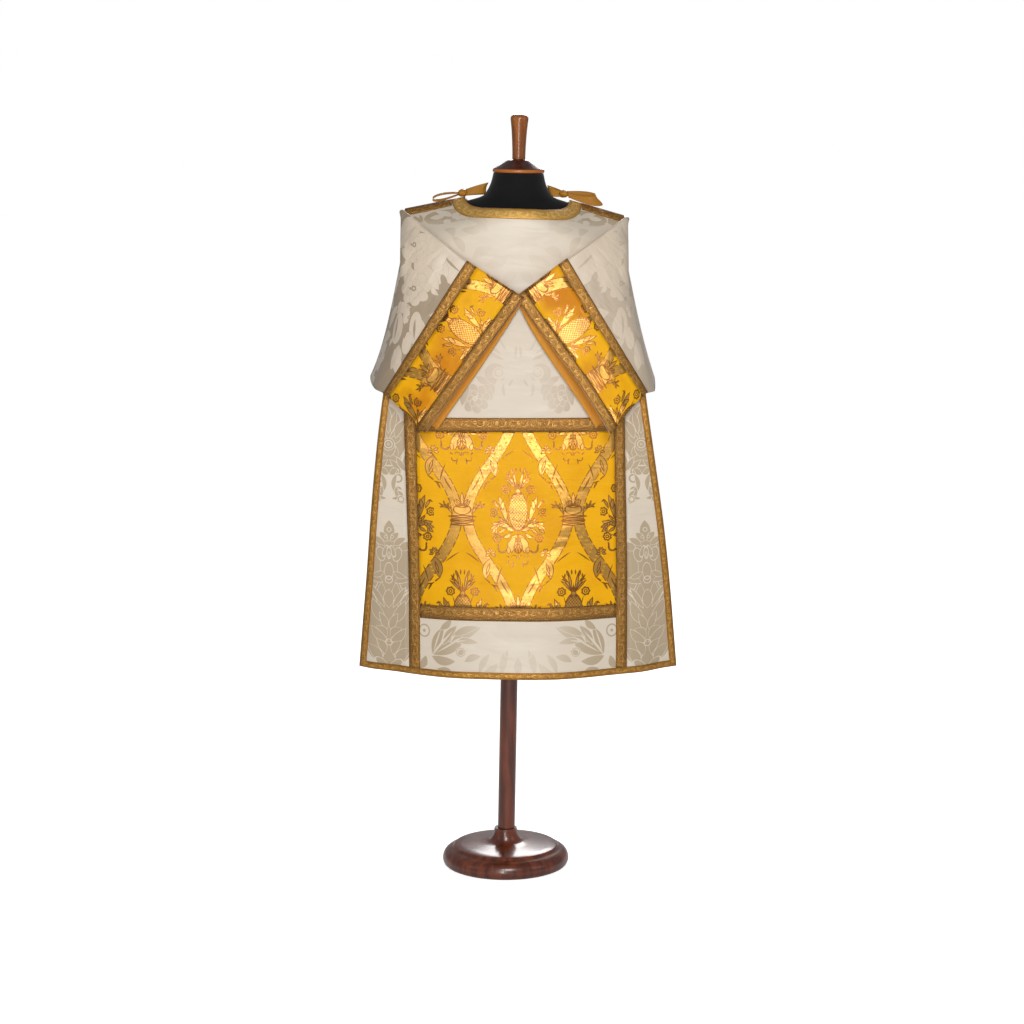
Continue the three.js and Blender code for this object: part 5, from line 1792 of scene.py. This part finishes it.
# %% The turned pieces
CAP_PROFILE = [
    (0, 0), (52, 0), (54.6, 0.4), (55.6, 1.5), (55.9, 3.5), (55.6, 6), (54.6, 7.6), (52.6, 8.8),
    (45, 13), (36, 18.4), (29, 22.8), (25.6, 25), (23.6, 26.2), (21, 27), (17, 27.5), (0, 27.5),
]
FINIAL_PROFILE = [
    (0, 0), (13, 0), (13.7, 0.5), (14, 1.5), (14.1, 10), (14.5, 25), (15.3, 42), (16.5, 60),
    (17.6, 72), (18.8, 82), (19.3, 86), (19.1, 89), (18, 91.8), (16, 94), (13, 95.5),
    (8, 96.3), (0, 96.5),
]
BASE_PROFILE = [
    (0, 0), (126, 0), (131, 1.2), (135, 3), (138, 6), (140, 10), (141, 14), (141, 18), (140, 23),
    (138, 28), (134.5, 32.6), (130, 36), (125, 38.6), (120, 40), (117, 42), (115.6, 45),
    (113, 46.4), (96, 48.2), (78, 50), (60, 51.4), (44, 53), (40, 54.2), (36, 56), (33, 58.6),
    (31, 62), (28.6, 67), (27, 72), (25.6, 78), (25, 84), (0, 84),
]
CAP_LOW, CAP_HEIGHT, CAP_RIM = FORM_TOP_Z + 1, CAP_PROFILE[-1][1], 8
POLE_LOW, POLE_RADIUS = BASE_PROFILE[-1][1] + 1, 19
POLE_LENGTH = FORM_LOW_Z - 4 - POLE_LOW
POLE_PROFILE = [(0, 0), (POLE_RADIUS, 0), (POLE_RADIUS, POLE_LENGTH), (0, POLE_LENGTH)]


def turned_piece(name, node, profile, z, leans, material, segments=96):
    """Spins a profile round the vertical, leans it with the form and stands it at z."""
    bm = bmesh.new()
    line = [bm.verts.new((r * MM, 0, h * MM)) for r, h in profile]
    edges = [bm.edges.new(pair) for pair in zip(line, line[1:])]
    bmesh.ops.spin(
        bm, geom=line + edges, cent=(0, 0, 0), axis=(0, 0, 1), angle=2 * math.pi,
        steps=segments, use_merge=True,
    )
    bmesh.ops.remove_doubles(bm, verts=bm.verts[:], dist=1e-6)
    bmesh.ops.recalc_face_normals(bm, faces=bm.faces[:])
    sharp = math.radians(40)
    for edge in bm.edges:
        edge.smooth = len(edge.link_faces) != 2 or edge.calc_face_angle() < sharp
    for face in bm.faces:
        face.smooth = True
    if leans:
        turn = Matrix.Rotation(math.atan(FORM_LEAN), 4, "Y")
        bmesh.ops.transform(bm, matrix=turn, verts=bm.verts[:])
    shift = Vector((FORM_LEAN * z * MM if leans else 0, 0, z * MM))
    bmesh.ops.translate(bm, vec=shift, verts=bm.verts[:])
    obj = object_of(name, bm, material)
    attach(obj, "root")
    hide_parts(node)
    print(f"{name}: {len(obj.data.polygons)} faces")


cap_wood = wood_material(
    "dark wood with a bare rim", srgb(56, 20, 10), srgb(86, 36, 18), 0.1, CAP_LOW + CAP_RIM
)
turned_piece("form_wood_cap", "form_cap", CAP_PROFILE, CAP_LOW, True, cap_wood)
turned_piece(
    "form_wood_finial", "form_finial", FINIAL_PROFILE,
    CAP_LOW + CAP_HEIGHT + GAP, True, light_wood,
)
turned_piece("form_wood_base", "form_base", BASE_PROFILE, 0, False, wood, 128)
turned_piece("form_wood_pole", "form_pole", POLE_PROFILE, POLE_LOW, True, wood, 64)
